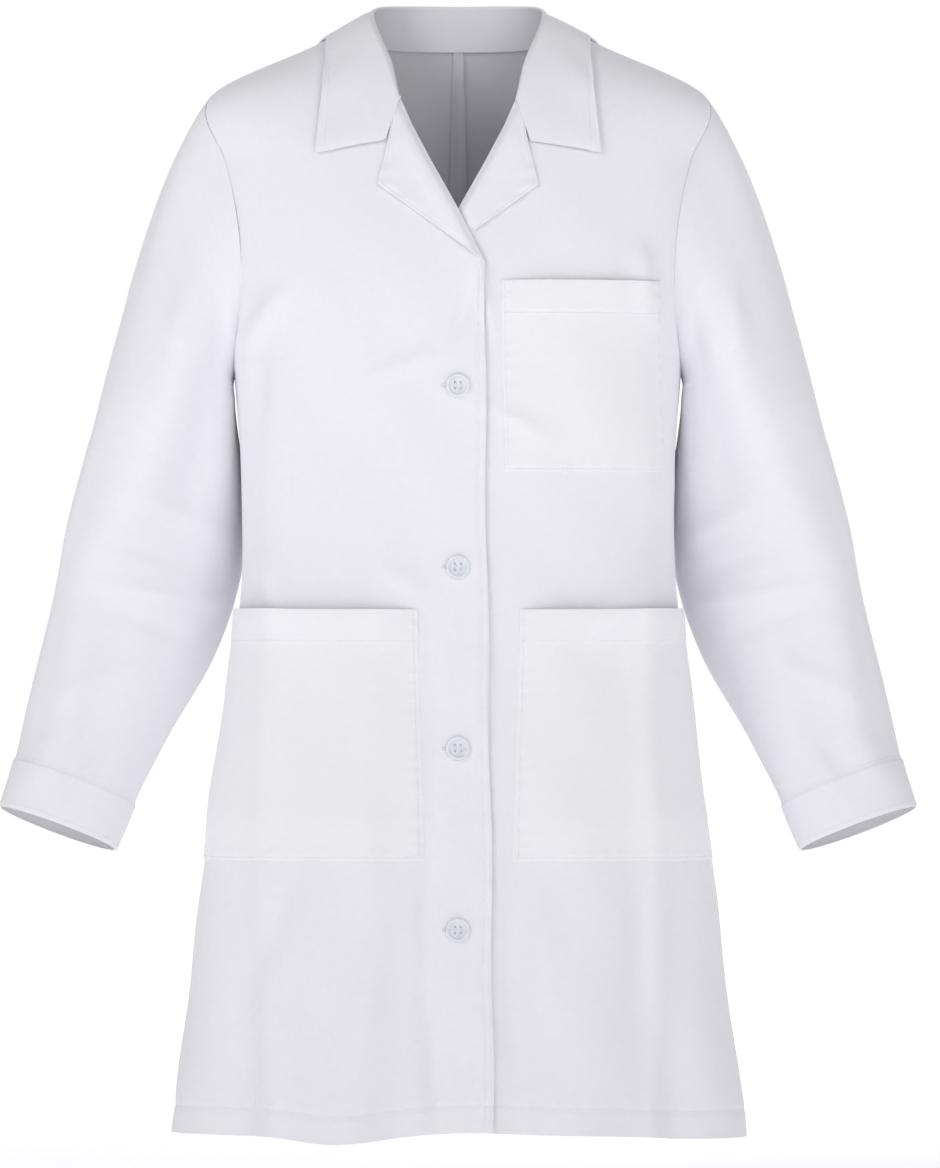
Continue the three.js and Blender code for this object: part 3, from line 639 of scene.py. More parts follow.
def sleeve_ring(share, turn):
    centre = sleeve_centre(share)
    along = unit(sleeve_centre(np.clip(share + 0.01, 0, 1)) - sleeve_centre(np.clip(share - 0.01, 0, 1)))
    size = sleeve_sizes(share)
    out = unit(np.stack([-along[..., 2], 0 * share, along[..., 0]], -1))
    ahead = unit(np.cross(along, out))
    twist = np.radians(size[..., 2:3])
    wide = out * np.cos(twist) + ahead * np.sin(twist)
    deep = ahead * np.cos(twist) - out * np.sin(twist)
    half_width, half_depth = size[..., :1] * MM, size[..., 1:2] * MM
    return centre + wide * half_width * np.cos(turn)[..., None] + deep * half_depth * np.sin(turn)[..., None]


def armhole_ring(turn):
    drop = SHOULDER + (UNDERARM - SHOULDER) * (1 - np.cos(turn)) / 2
    scoop = np.where(np.sin(turn) > 0, -FRONT_SCOOP, BACK_SCOOP)
    return on_body(armhole_angle(drop, scoop), drop, -0.3 * MM)


def bare_sleeve(round_share, length_share):
    """The left sleeve's smooth shape: round 0 is its outer end, and length 0 is the armhole."""
    turn = 2 * np.pi * round_share
    head = np.clip(length_share / HEAD_SHARE, 0, 1)[..., None]
    start, end = armhole_ring(turn), sleeve_ring(0 * turn, turn)
    high_share = ((1 + np.cos(turn)) / 2)[..., None]
    middle = start + (end - start) * (1 - high_share) / 2 + np.array(CAP) * high_share
    cap = start * (1 - head) ** 2 + middle * 2 * head * (1 - head) + end * head ** 2
    arm = sleeve_ring(np.clip((length_share - HEAD_SHARE) / (1 - HEAD_SHARE), 0, 1), turn)
    return np.where((length_share < HEAD_SHARE)[..., None], cap, arm)


def sleeve_folds(round_share, length_share):
    total = np.zeros_like(round_share)
    degrees = 360 * (round_share % 1)
    for place, width, height, start, end in SLEEVE_FOLDS:
        off = (degrees - place - 12 * np.sin(length_share * 9) + 180) % 360 - 180
        span = smooth(length_share, start, start + 0.12) * (1 - smooth(length_share, end - 0.12, end))
        total += height * span * np.exp(-(off / width) ** 2)
    across = 0.38 * np.minimum(round_share % 1, 0.5)
    for crease in SLEEVE_CREASES:
        total += crease_run(across, 0.62 * length_share, crease) * (degrees < 180)
    wave = 0.0010 * np.sin(length_share * 19 + np.sin(np.radians(degrees)) * 3)
    return (total + wave) * smooth(length_share, 0.02, 0.12)


def sleeve_surface(side, lift=UNDER_LIFT):
    def surface(round_share, length_share):
        out = -away(bare_sleeve, round_share, length_share, 0.004, 0.004)
        middle = bare_sleeve(round_share + 0.5, length_share)
        out = out * np.sign(((bare_sleeve(round_share, length_share) - middle) * out).sum(-1))[..., None]
        height = sleeve_folds(round_share, length_share) + (lift(length_share) if callable(lift) else lift)
        points = bare_sleeve(round_share, length_share) + out * height[..., None]
        return points * (side, 1, 1)

    return surface


def length_of(ring_share):
    """The share of the whole sleeve's length at a share of the way from underarm to cuff."""
    return HEAD_SHARE + (1 - HEAD_SHARE) * ring_share


def part_of(surface, start, end):
    return lambda across, down: surface(across, start + (end - start) * down)


# ---------------------------------------------------------------- mesh helpers


def coords(mesh):
    values = np.empty(len(mesh.vertices) * 3)
    mesh.vertices.foreach_get("co", values)
    return values.reshape(-1, 3)


def make_piece(name, bm, slot, thickness=0.0):
    mesh = bpy.data.meshes.new(name)
    bm.to_mesh(mesh)
    bm.free()
    piece = bpy.data.objects.new(name, mesh)
    bpy.context.scene.collection.objects.link(piece)
    mesh.materials.append(finish_for(slot))
    mesh.shade_smooth()
    if thickness:
        wall = piece.modifiers.new("cloth thickness", "SOLIDIFY")
        wall.thickness = thickness
        wall.offset = -1
    return piece


def crowded(count, places):
    """Shares from 0 to 1 whose steps are finer near some places: (place, reach, how many times finer)."""
    share = np.linspace(0, 1, 4001)
    density = np.ones_like(share)
    for place, reach, times in places:
        density += (times - 1) * bump(share, place, reach)
    total = np.concatenate([[0], np.cumsum((density[1:] + density[:-1]) / 2)])
    return np.interp(np.linspace(0, total[-1], count + 1), total, share)


def turn_outwards(bm, middle_of):
    bm.normal_update()
    facing = 0.0
    for face in bm.faces:
        centre = face.calc_center_median()
        facing += (centre - middle_of(centre)).dot(face.normal) * face.calc_area()
    if facing < 0:
        bmesh.ops.reverse_faces(bm, faces=bm.faces)


def body_middle(point):
    return Vector((0, 0, point.z))


def sleeve_middle(side):
    share = np.linspace(0, 1, 41)
    line = sleeve_centre(share) * (side, 1, 1)

    def middle(point):
        nearest = np.interp(-point.z, -line[:, 2], share)
        return Vector(sleeve_centre(np.array(nearest)) * (side, 1, 1))

    return middle


def cloth(name, surface, columns, rows, size, slot, *, across_fine=(), down_fine=(),
          thickness=0.8 * MM, tube=False, relax=None, middle=body_middle):
    """A sheet of cloth from a grid: surface(across, down) gives its points for shares from 0 to 1."""
    bm = bmesh.new()
    bmesh.ops.create_grid(bm, x_segments=columns, y_segments=rows, size=0.5)
    steps_across, steps_down = crowded(columns, across_fine), crowded(rows, down_fine)
    shares = np.array([(v.co.x + 0.5, 0.5 - v.co.y) for v in bm.verts])
    across = np.interp(shares[:, 0], np.linspace(0, 1, columns + 1), steps_across)
    down = np.interp(shares[:, 1], np.linspace(0, 1, rows + 1), steps_down)
    cloth_map = bm.loops.layers.uv.new("cloth")
    for face in bm.faces:
        for loop in face.loops:
            index = loop.vert.index
            loop[cloth_map].uv = (across[index] * size[0], -down[index] * size[1])
    for vert, point in zip(bm.verts, surface(across, down)):
        vert.co = point
    if relax:
        place, reach, times = relax
        loose = [v for v, share in zip(bm.verts, down) if abs(share - place) < reach and not v.is_boundary]
        every_axis = {"use_axis_x": True, "use_axis_y": True, "use_axis_z": True}
        for _ in range(times):
            bmesh.ops.smooth_vert(bm, verts=loose, factor=0.5, **every_axis)
    if tube:
        bmesh.ops.remove_doubles(bm, verts=bm.verts, dist=0.02 * MM)
    turn_outwards(bm, middle)
    for edge in bm.edges:
        edge.smooth = not edge.is_boundary
    return make_piece(name, bm, slot, thickness)


def sheet_shares(piece, size):
    """Each point's share across and down its sheet, read back from the cloth's own map."""
    mesh = piece.data
    points = np.empty(len(mesh.loops), int)
    mesh.loops.foreach_get("vertex_index", points)
    places = np.empty(len(mesh.loops) * 2)
    mesh.uv_layers["cloth"].data.foreach_get("uv", places)
    shares = np.zeros((len(mesh.vertices), 2))
    shares[points] = places.reshape(-1, 2) / (size[0], -size[1])
    return shares[:, 0], shares[:, 1]


def ride_front(piece, rigid=False):
    """Bakes the place of a piece of a front into its mesh and reads back its points, taken at their middle
    when it is rigid.
    """
    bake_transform(piece)
    points = coords(piece.data)
    if rigid:
        points = np.repeat(points.mean(0, keepdims=True), len(points), 0)


def declare_sheet(piece, held, rests_on, width, length, with_pieces=()):
    mesh = piece.data
    areas = np.empty(len(mesh.polygons))
    mesh.polygons.foreach_get("area", areas)


THREAD_PITCH = 3.1 * MM
THREAD_RADIUS = 0.26 * MM


def sew(bm, surface, route, lift=0.12 * MM, middle=body_middle, pitch=THREAD_PITCH):
    """Lays stitches along a route of (across, down) shares on a surface."""
    corners = np.array(route, float)
    steps = np.linspace(0, len(corners) - 1, 500 * (len(corners) - 1) + 1)
    line = [np.interp(steps, range(len(corners)), corners[:, axis]) for axis in range(2)]
    points = surface(*line)
    run = np.concatenate([[0], np.cumsum(np.linalg.norm(np.diff(points, axis=0), axis=1))])
    places = np.arange(pitch, run[-1], pitch)
    across, down = (np.interp(places, run, shares) for shares in line)
    here = surface(across, down)
    ahead = unit(surface(*(np.interp(places + 0.4 * MM, run, shares) for shares in line)) - here)
    out = away(surface, across, down, 0.002, 0.002)
    for point, along, normal in zip(here, ahead, out):
        put_stitch(bm, Vector(point), Vector(along), Vector(normal), lift, middle)


def put_stitch(bm, point, along, normal, lift, middle, length=0.36 * THREAD_PITCH, radius=THREAD_RADIUS):
    if along.length < 0.5 or normal.length < 0.5:
        return
    if (point - middle(point)).dot(normal) < 0:
        normal = -normal
    side = normal.cross(along).normalized()
    turn = Matrix((along.normalized(), side, normal)).transposed().to_4x4()
    size = Matrix.Diagonal((length, radius, radius, 1))
    place = Matrix.Translation(point + normal * lift) @ turn @ size
    bmesh.ops.create_icosphere(bm, subdivisions=1, radius=1, matrix=place)


# ---------------------------------------------------------------- materials


def colour(code):
    """An sRGB hex colour as linear red, green, blue and alpha."""
    parts = [int(code[i:i + 2], 16) / 255 for i in (0, 2, 4)]
    return [c / 12.92 if c <= 0.04045 else ((c + 0.055) / 1.055) ** 2.4 for c in parts] + [1.0]


def node(tree, kind, links=(), attributes=(), inputs=()):
    """Adds a node, sets its attributes and inputs, and links sockets into it."""
    made = tree.nodes.new(kind)
    for key, value in attributes:
        setattr(made, key, value)
    for key, value in inputs:
        made.inputs[key].default_value = value
    for key, socket in links:
        tree.links.new(made.inputs[key], socket)
    return made


def new_material(name, **surface):
    material = bpy.data.materials.new(name)
    material.use_nodes = True
    shader = material.node_tree.nodes["Principled BSDF"]
    for key, value in surface.items():
        shader.inputs[key.replace("_", " ")].default_value = value
    return material, material.node_tree, shader


TWILL_RIB = 1.6 * MM  # real ribs are about 0.5 mm apart; drawn three times as coarse so that they show
TWILL_ANGLE = 63  # degrees, the usual steep twill line
SLUB = 7 * MM
RUMPLE = 45 * MM


def twill(name, tone, shade):
    """Poly-cotton twill, woven and pressed: matt, with fine diagonal ribs, soft sheen and slight mottling."""
    material, tree, shader = new_material(
        name, Roughness=0.9, IOR=1.46, Sheen_Weight=0.18, Sheen_Roughness=0.5, Specular_IOR_Level=0.2)
    flat = node(tree, "ShaderNodeUVMap", attributes=[("uv_map", "cloth")]).outputs["UV"]
    turned = node(tree, "ShaderNodeMapping", [("Vector", flat)],
                  inputs=[("Rotation", (0, 0, math.radians(TWILL_ANGLE)))])
    ribs = node(tree, "ShaderNodeTexWave", [("Vector", turned.outputs["Vector"])],
                inputs=[("Scale", 2 * math.pi / 20 / TWILL_RIB), ("Distortion", 0.8), ("Detail", 1.0)])
    slubs = node(tree, "ShaderNodeTexNoise", [("Vector", flat)],
                 inputs=[("Scale", 1 / SLUB), ("Detail", 5.0)])
    rumple = node(tree, "ShaderNodeTexNoise", [("Vector", flat)],
                  inputs=[("Scale", 1 / RUMPLE), ("Detail", 3.0), ("Distortion", 0.6)])
    mottle = node(tree, "ShaderNodeMix", [("Factor", slubs.outputs["Fac"])], [("data_type", "RGBA")],
                  [(6, colour(tone)), (7, colour(shade))])
    tree.links.new(shader.inputs["Base Color"], mottle.outputs[2])
    soft = node(tree, "ShaderNodeBump", [("Height", rumple.outputs["Fac"])],
                inputs=[("Strength", 0.30), ("Distance", 2 * MM)])
    heights = [("Height", ribs.outputs["Fac"]), ("Normal", soft.outputs["Normal"])]
    weave = node(tree, "ShaderNodeBump", heights,
                 inputs=[("Strength", 0.22), ("Distance", 0.12 * MM)])
    tree.links.new(shader.inputs["Normal"], weave.outputs["Normal"])
    return material


def sewing_thread(name, tone, shade):
    """Spun polyester thread, twisted: slightly glossier than the cloth, with a fine ply."""
    material, tree, shader = new_material(name, Roughness=0.6, IOR=1.5, Sheen_Weight=0.3, Sheen_Roughness=0.4)
    place = node(tree, "ShaderNodeTexCoord").outputs["Object"]
    ply = node(tree, "ShaderNodeTexNoise", [("Vector", place)],
               inputs=[("Scale", 1 / (0.5 * MM)), ("Detail", 2.0)])
    tint = node(tree, "ShaderNodeMix", [("Factor", ply.outputs["Fac"])], [("data_type", "RGBA")],
                [(6, colour(tone)), (7, colour(shade))])
    tree.links.new(shader.inputs["Base Color"], tint.outputs[2])
    twist = node(tree, "ShaderNodeBump", [("Height", ply.outputs["Fac"])],
                 inputs=[("Strength", 0.4), ("Distance", 0.1 * MM)])
    tree.links.new(shader.inputs["Normal"], twist.outputs["Normal"])
    return material


def button_polyester(name, tone, shade):
    """Cast polyester button, turned and tumbled: satin, faintly cloudy, with soft highlights on its rim."""
    material, tree, shader = new_material(
        name, Roughness=0.28, IOR=1.54, Coat_Weight=0.25, Coat_Roughness=0.15, Subsurface_Weight=0.08)
    place = node(tree, "ShaderNodeTexCoord").outputs["Object"]
    cloud = node(tree, "ShaderNodeTexNoise", [("Vector", place)],
                 inputs=[("Scale", 1 / (5 * MM)), ("Detail", 4.0)])
    tint = node(tree, "ShaderNodeMix", [("Factor", cloud.outputs["Fac"])], [("data_type", "RGBA")],
                [(6, colour(tone)), (7, colour(shade))])
    tree.links.new(shader.inputs["Base Color"], tint.outputs[2])
    gloss = node(tree, "ShaderNodeMapRange", [("Value", cloud.outputs["Fac"])],
                 inputs=[("To Min", 0.24), ("To Max", 0.36)])
    tree.links.new(shader.inputs["Roughness"], gloss.outputs["Result"])
    return material


def studio_paper(name, tone):
    """Seamless background paper, smooth and matt, with a hint of fibre. Painted light: it glows, more away
    from the middle, in metres, in place of the studio light on a lit backdrop, so that it fades to white."""
    material, tree, shader = new_material(name, Roughness=0.95, Specular_IOR_Level=0.1)
    place = node(tree, "ShaderNodeTexCoord").outputs["Object"]
    fibre = node(tree, "ShaderNodeTexNoise", [("Vector", place)],
                 inputs=[("Scale", 1 / (20 * MM)), ("Detail", 3.0)])
    tint = node(tree, "ShaderNodeMix", [("Factor", fibre.outputs["Fac"])], [("data_type", "RGBA")],
                [(6, colour(tone)), (7, colour("FCFCFD"))])
    tree.links.new(shader.inputs["Base Color"], tint.outputs[2])
    tree.links.new(shader.inputs["Emission Color"], tint.outputs[2])
    # painted light: the paper's own glow, from 0.42 near the middle to 0.85 far out
    reach = node(tree, "ShaderNodeVectorMath", [("Vector", place)], [("operation", "LENGTH")])
    glow = node(tree, "ShaderNodeMapRange", [("Value", reach.outputs["Value"])],
                inputs=[("From Min", 1.2), ("From Max", 5.0), ("To Min", 0.42), ("To Max", 0.85)])
    tree.links.new(shader.inputs["Emission Strength"], glow.outputs["Result"])
    return material


FINISHES = {
    "coat_cloth": ("bleached poly-cotton twill", twill, "F3F2F6", "EEEDF2"),
    "pocket_cloth": ("bleached twill, doubled at the pockets", twill, "F5F4F7", "F1F0F4"),
    # The facings and turned-up hems are the coat's own twill, painted darker as shade because they sit inside
    # the coat.
    "inside_cloth": ("bleached twill, inner side", twill, "E9E8F0", "E3E2EB"),
    "sewing_thread": ("spun polyester thread", sewing_thread, "F2F1F6", "E6E5EC"),
    "button_plastic": ("cast polyester button", button_polyester, "F0EFF3", "E8E7EC"),
}


def finish_for(slot):
    """The material of a record slot, made when it is first asked for."""
    label, make, tone, shade = FINISHES[slot]
    return bpy.data.materials.get(label) or make(label, tone, shade)


# ---------------------------------------------------------------- user settings


class LabCoatCloth(bpy.types.PropertyGroup):
    thickness: FloatProperty(name="Thickness", description="Thickness of the cloth", default=0.8 * MM,
                             min=0.2 * MM, max=2 * MM, subtype="DISTANCE", unit="LENGTH")
    front_columns: IntProperty(name="Front columns", description="Grid columns across each front",
                               default=110)
    rows: IntProperty(name="Rows", description="Grid rows from the shoulder to the hem", default=230)


class LabCoatButtons(bpy.types.PropertyGroup):
    radius: FloatProperty(name="Radius", description="Radius of a button", default=BUTTON_RADIUS,
                          subtype="DISTANCE", unit="LENGTH")
    height: FloatProperty(name="Height", description="Height of a button's rim", default=3.4 * MM,
                          subtype="DISTANCE", unit="LENGTH")
    hole: FloatProperty(name="Hole", description="Radius of each hole", default=1.0 * MM,
                        subtype="DISTANCE", unit="LENGTH")


class LabCoatStage(bpy.types.PropertyGroup):
    key: FloatProperty(name="Key light", description="Power of the large soft light", default=60,
                       unit="POWER")
    air: FloatProperty(name="Air", description="Brightness of the even light from all round", default=0.36,
                       min=0)


def cloth_settings(context):
    return context.scene.lab_coat_cloth


# ---------------------------------------------------------------- operators


class LABCOAT_OT_back(bpy.types.Operator):
    """Hang the back, its turned-up hem and the pleat behind its centre line"""
    bl_idname = "labcoat.back"
    bl_label = "Back"

    def execute(self, context):
        settings = cloth_settings(context)
        back = cloth("coat_back", back_surface(), 150, settings.rows, (0.62, 0.93), "coat_cloth",
                     across_fine=[(0.5, 0.03, 5), (0, 0.02, 2), (1, 0.02, 2)],
                     down_fine=[(0, 0.05, 3), (1, 0.03, 3)], thickness=settings.thickness)
        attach(back, "coat")
        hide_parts("back_right", "back_left")
        turned_up = hem_surface(
            lambda drop: 90 + SEAM_GAP + 0 * drop, lambda drop: 270 - SEAM_GAP + 0 * drop, 1)
        hem = cloth("back_hem", turned_up, 120, 8, (0.60, HEM_TURN), "inside_cloth", thickness=LAYER)
        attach(hem, "coat")
        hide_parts("back_right_hem", "back_left_hem")
        pleat = cloth("back_pleat_cloth", pleat_surface(), 10, 160, (0.036, 0.85), "coat_cloth",
                      thickness=LAYER)
        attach(pleat, "coat")
        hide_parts("back_pleat")
        declare_sheet(back, "hung", [], 0.62, 0.97, [hem, pleat])
        return {"FINISHED"}


class LABCOAT_OT_fronts(bpy.types.Operator):
    """Hang both fronts with their facings and turned-up hems"""
    bl_idname = "labcoat.fronts"
    bl_label = "Fronts"

    def execute(self, context):
        settings = cloth_settings(context)
        for name, side in SIDES:
            front = cloth(f"{name}_front_cloth", front_surface(side), settings.front_columns, settings.rows,
                          (0.30, 0.93), "coat_cloth", across_fine=[(0, 0.04, 4), (1, 0.02, 2)],
                          down_fine=[(0, 0.05, 3), (1, 0.03, 3)], thickness=settings.thickness)
            ride_front(front)
            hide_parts(f"{name}_front_upper", f"{name}_front", f"{name}_front_side")
            facing = cloth(f"{name}_facing", facing_surface(side), 16, 180, (FACING_WIDTH, 0.72),
                           "inside_cloth", thickness=LAYER)
            ride_front(facing)
            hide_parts(f"{name}_front_facing")
            inner = at_x(side, lambda drop: FACING_WIDTH - OVERLAP + 1 * MM + 0 * drop)
            outer = partial(side_seam, side)
            hem = cloth(f"{name}_hem", hem_surface(inner, outer, side), 70, 8, (0.25, HEM_TURN),
                        "inside_cloth", thickness=LAYER)
            ride_front(hem)
            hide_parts(f"{name}_front_hem", f"{name}_side_hem")
            declare_sheet(front, "hung", [], 0.31, 0.97, [facing, hem])
        return {"FINISHED"}


class LABCOAT_OT_lapels(bpy.types.Operator):
    """Fold the lapels over"""
    bl_idname = "labcoat.lapels"
    bl_label = "Lapels"

    def execute(self, context):
        for name, side in SIDES:
            lapel = cloth(f"{name}_lapel_cloth", lapel_surface(side), 44, 80, (0.07, 0.14), "coat_cloth",
                          across_fine=[(0, 0.1, 2), (1, 0.1, 2)], thickness=1.2 * MM)
            ride_front(lapel)
            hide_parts(f"{name}_lapel")
            declare_sheet(lapel, "folded", [f"{name}_front_cloth"], 0.075, 0.15)
        return {"FINISHED"}


class LABCOAT_OT_collar(bpy.types.Operator):
    """Turn the collar over its stand"""
    bl_idname = "labcoat.collar"
    bl_label = "Collar"

    def execute(self, context):
        collar = cloth("collar_cloth", collar_surface(), 220, 60, (0.50, 0.11), "coat_cloth",
                       across_fine=[(0, 0.04, 2), (1, 0.04, 2)],
                       down_fine=[(STAND_SHARE, 0.06, 3), (1, 0.04, 2)],
                       relax=(STAND_SHARE, 0.09, 12), thickness=1.3 * MM)
        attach(collar, "coat")
        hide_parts("collar_fall", "collar_stand")
        declare_sheet(collar, "folded", ["coat_back"], 0.52, 0.12)
        return {"FINISHED"}


class LABCOAT_OT_sleeves(bpy.types.Operator):
    """Set in the sleeves and their cuffs"""
    bl_idname = "labcoat.sleeves"
    bl_label = "Sleeves"

    def execute(self, context):
        thickness = cloth_settings(context).thickness
        split = length_of(SPLIT)
        cuff_top = length_of(CUFF_SHARE)
        for name, side in SIDES:
            whole = sleeve_surface(side)
            middle = sleeve_middle(side)
            upper = cloth(f"{name}_sleeve_head", part_of(whole, 0, split), 110, 100, SLEEVE_HEAD_SIZE,
                          "coat_cloth", thickness=thickness, tube=True, middle=middle,
                          relax=(HEAD_SHARE / split, 0.16, 14))
            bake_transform(upper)
            self.shoulder_shares(upper)
            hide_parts(f"{name}_upper_sleeve")
            lower = cloth(f"{name}_sleeve", part_of(whole, split, cuff_top), 110, 120, (0.36, 0.29),
                          "coat_cloth", thickness=thickness, tube=True, middle=middle,
                          down_fine=[(1, 0.06, 2)])
            bend = (ELBOW - 0.10, ELBOW + 0.12)
            first, last = (sleeve_centre(np.array(share)) * (side, 1, 1) for share in bend)
            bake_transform(lower)
            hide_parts(f"{name}_lower_sleeve")
            cuff_side = sleeve_surface(side, self.cuff_lift)
            cuff = cloth(f"{name}_cuff_cloth", part_of(cuff_side, cuff_top - 0.002, 1), 110, 26,
                         (0.28, CUFF_DEPTH), "coat_cloth", thickness=1.8 * MM, tube=True, middle=middle,
                         down_fine=[(0, 0.08, 3), (1, 0.08, 3)])
            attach(cuff, f"{name}_forearm")
            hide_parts(f"{name}_cuff")
            declare_sheet(upper, "hung", ["coat_back"], 0.40, 0.29)
            declare_sheet(lower, "hung", [f"{name}_sleeve_head"], 0.38, 0.31, [cuff])
        return {"FINISHED"}

    def cuff_lift(self, length_share):
        """The doubled cuff stands off the sleeve, and is pressed in along its seam and its edge."""
        seam_dip = 1.1 * MM * bump(length_share, length_of(CUFF_SHARE), 0.004)
        edge_dip = 0.5 * MM * bump(length_share, 1, 0.004)
        return UNDER_LIFT + CUFF_LIFT - seam_dip - edge_dip

    def shoulder_shares(self, piece):
        """A share for each point of the sleeve head, from 0 at the armhole to 1 below it, reached soon on top
        and later underneath.
        """
        round_share, down = sheet_shares(piece, SLEEVE_HEAD_SIZE)
        high = (1 + np.cos(2 * np.pi * round_share)) / 2
        return smooth(down, 0, 0.92 - 0.45 * high)


class LABCOAT_OT_pockets(bpy.types.Operator):
    """Stitch on the chest pocket and the two hip pockets"""
    bl_idname = "labcoat.pockets"
    bl_label = "Pockets"

    def execute(self, context):
        fine = [(0, 0.03, 3), (1, 0.03, 3)]
        size = (CHEST_POCKET_WIDTH, CHEST_POCKET[1][2] - CHEST_POCKET[0][2])
        chest = cloth("chest_pocket_cloth", chest_pocket_surface(), 70, 84, size, "pocket_cloth",
                      across_fine=fine, down_fine=[*fine, (POCKET_BAND / size[1], 0.03, 3)],
                      thickness=POCKET_THICKNESS)
        ride_front(chest)
        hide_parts("chest_pocket")
        declare_sheet(chest, "stretched", ["left_front_cloth"], *size)
        height = HIP_POCKET[1][2] - HIP_POCKET[0][2]
        for name, side in SIDES:
            hip = cloth(f"{name}_hip_pocket_cloth", hip_pocket_surface(side), 96, 96, (0.19, height),
                        "pocket_cloth", across_fine=fine, down_fine=[*fine, (POCKET_BAND / height, 0.03, 3)],
                        thickness=POCKET_THICKNESS)
            ride_front(hip)
            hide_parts(f"{name}_hip_pocket")
            declare_sheet(hip, "stretched", [f"{name}_front_cloth"], 0.21, height + 2 * MM)
        return {"FINISHED"}


class LABCOAT_OT_buttons(bpy.types.Operator):
    """Sew on the buttons with crossed thread"""
    bl_idname = "labcoat.buttons"
    bl_label = "Buttons"

    def execute(self, context):
        settings = context.scene.lab_coat_buttons
        for index, drop in enumerate(BUTTON_DROPS, 1):
            face = front_place(0.0, drop, UNDER_LIFT + OVER_LIFT)
            place = Matrix.Translation(Vector(face)) @ self.tilt(drop)
            button = self.button(f"button_{index}_turned", settings, place)
            ride_front(button, rigid=True)
            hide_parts(f"button_{index}")
            thread = self.thread(f"button_{index}_cross_thread", settings, place)
            ride_front(thread, rigid=True)
            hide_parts(f"button_thread_{index}")
        return {"FINISHED"}

    def tilt(self, drop):
        """Turns the button's own up, along Z, to point out of the coat's front."""
        out = away(on_body, np.array(0.01), np.array(drop), 0.5, 0.01)
        out = Vector(out if out[1] < 0 else -out)
        upright = Vector((0, out.y, out.z)).normalized()
        return Vector((0, 0, 1)).rotation_difference(upright).to_matrix().to_4x4()

    def button(self, name, settings, place):
        r, h = settings.radius, settings.height
        profile = [
            (0, 0.35 * h), (0.60 * r, 0.35 * h), (0.72 * r, 0.55 * h), (0.80 * r, 0.92 * h), (0.88 * r, h),
            (0.96 * r, 0.88 * h), (r, 0.6 * h), (0.97 * r, 0.3 * h), (0.85 * r, 0.05 * h), (0, 0)]
        bm = bmesh.new()
        verts = [bm.verts.new((x, 0, z)) for x, z in profile]
        edges = [bm.edges.new(pair) for pair in zip(verts, verts[1:])]
        bmesh.ops.spin(bm, geom=[*verts, *edges], cent=(0, 0, 0), axis=(0, 0, 1), angle=2 * math.pi,
                       steps=48, use_merge=True)
        bmesh.ops.remove_doubles(bm, verts=bm.verts, dist=0.01 * MM)
        bmesh.ops.recalc_face_normals(bm, faces=bm.faces)
        piece = make_piece(name, bm, "button_plastic")
        drills = bmesh.new()
        for x, y in self.holes(r):
            bmesh.ops.create_cone(drills, cap_ends=True, segments=16, depth=6 * h, radius1=settings.hole,
                                  radius2=settings.hole, matrix=Matrix.Translation((x, y, 0)))
        drill_mesh = bpy.data.meshes.new("drills")
        drills.to_mesh(drill_mesh)
        drills.free()
        tool = bpy.data.objects.new("drills", drill_mesh)
        bpy.context.scene.collection.objects.link(tool)
        cut = piece.modifiers.new("holes", "BOOLEAN")
        cut.operation, cut.solver, cut.object = "DIFFERENCE", "EXACT", tool
        drilled = bpy.data.meshes.new_from_object(piece.evaluated_get(bpy.context.evaluated_depsgraph_get()))
        piece.modifiers.clear()
        bpy.data.objects.remove(tool)
        bpy.data.meshes.remove(drill_mesh)
        drilled.transform(place)
        piece.data = drilled
        bevel = piece.modifiers.new("soft edges", "BEVEL")
        bevel.width = 0.15 * MM
        bevel.segments = 2
        bevel.limit_method = "ANGLE"
        bevel.angle_limit = math.radians(50)
        return piece

    def holes(self, radius):
        reach = 0.24 * radius
        return [(reach * x, reach * y) for x in (-1, 1) for y in (-1, 1)]

    def arch(self, share):
        """How a bar of thread rises between its two holes and dives into them."""
        return 0.5 * MM * (1 - share ** 4) - 1.1 * MM * abs(share) ** 8

    def thread(self, name, settings, place):
        """Two bars of thread between the holes, and the shank that holds the button off the cloth."""
        bm = bmesh.new()
        reach, h = 0.24 * settings.radius, settings.height
        for x in (-reach, reach):
            for strand in (-0.25 * MM, 0.25 * MM):
                steps = np.linspace(-1, 1, 9)
                route = [Vector((x + strand, reach * t, 0.35 * h + self.arch(t))) for t in steps]
                rod(bm, route, 0.28 * MM, 7)
        for x, y in self.holes(settings.radius):
            rod(bm, [Vector((x, y, -z)) for z in np.linspace(-0.3 * h, 3.4 * MM, 4)], 0.5 * MM, 7)
        bmesh.ops.transform(bm, matrix=place, verts=bm.verts)
        return make_piece(name, bm, "sewing_thread")


def rod(bm, route, radius, sides):
    """A round strand along a route, closed at both ends."""
    last = None
    for index, point in enumerate(route):
        ahead = (route[min(index + 1, len(route) - 1)] - route[max(index - 1, 0)]).normalized()
        turn = Vector((0, 0, 1)).rotation_difference(ahead).to_matrix().to_4x4()
        capped = index in (0, len(route) - 1)
        ring = bmesh.ops.create_circle(bm, cap_ends=capped, segments=sides, radius=radius,
                                       matrix=Matrix.Translation(point) @ turn)["verts"]
        members = set(ring)
        edges = [e for v in ring for e in v.link_edges if set(e.verts) <= members]
        edges = list(dict.fromkeys(edges))
        if last:
            bmesh.ops.bridge_loops(bm, edges=last + edges)
        last = edges
    bmesh.ops.recalc_face_normals(bm, faces=bm.faces)


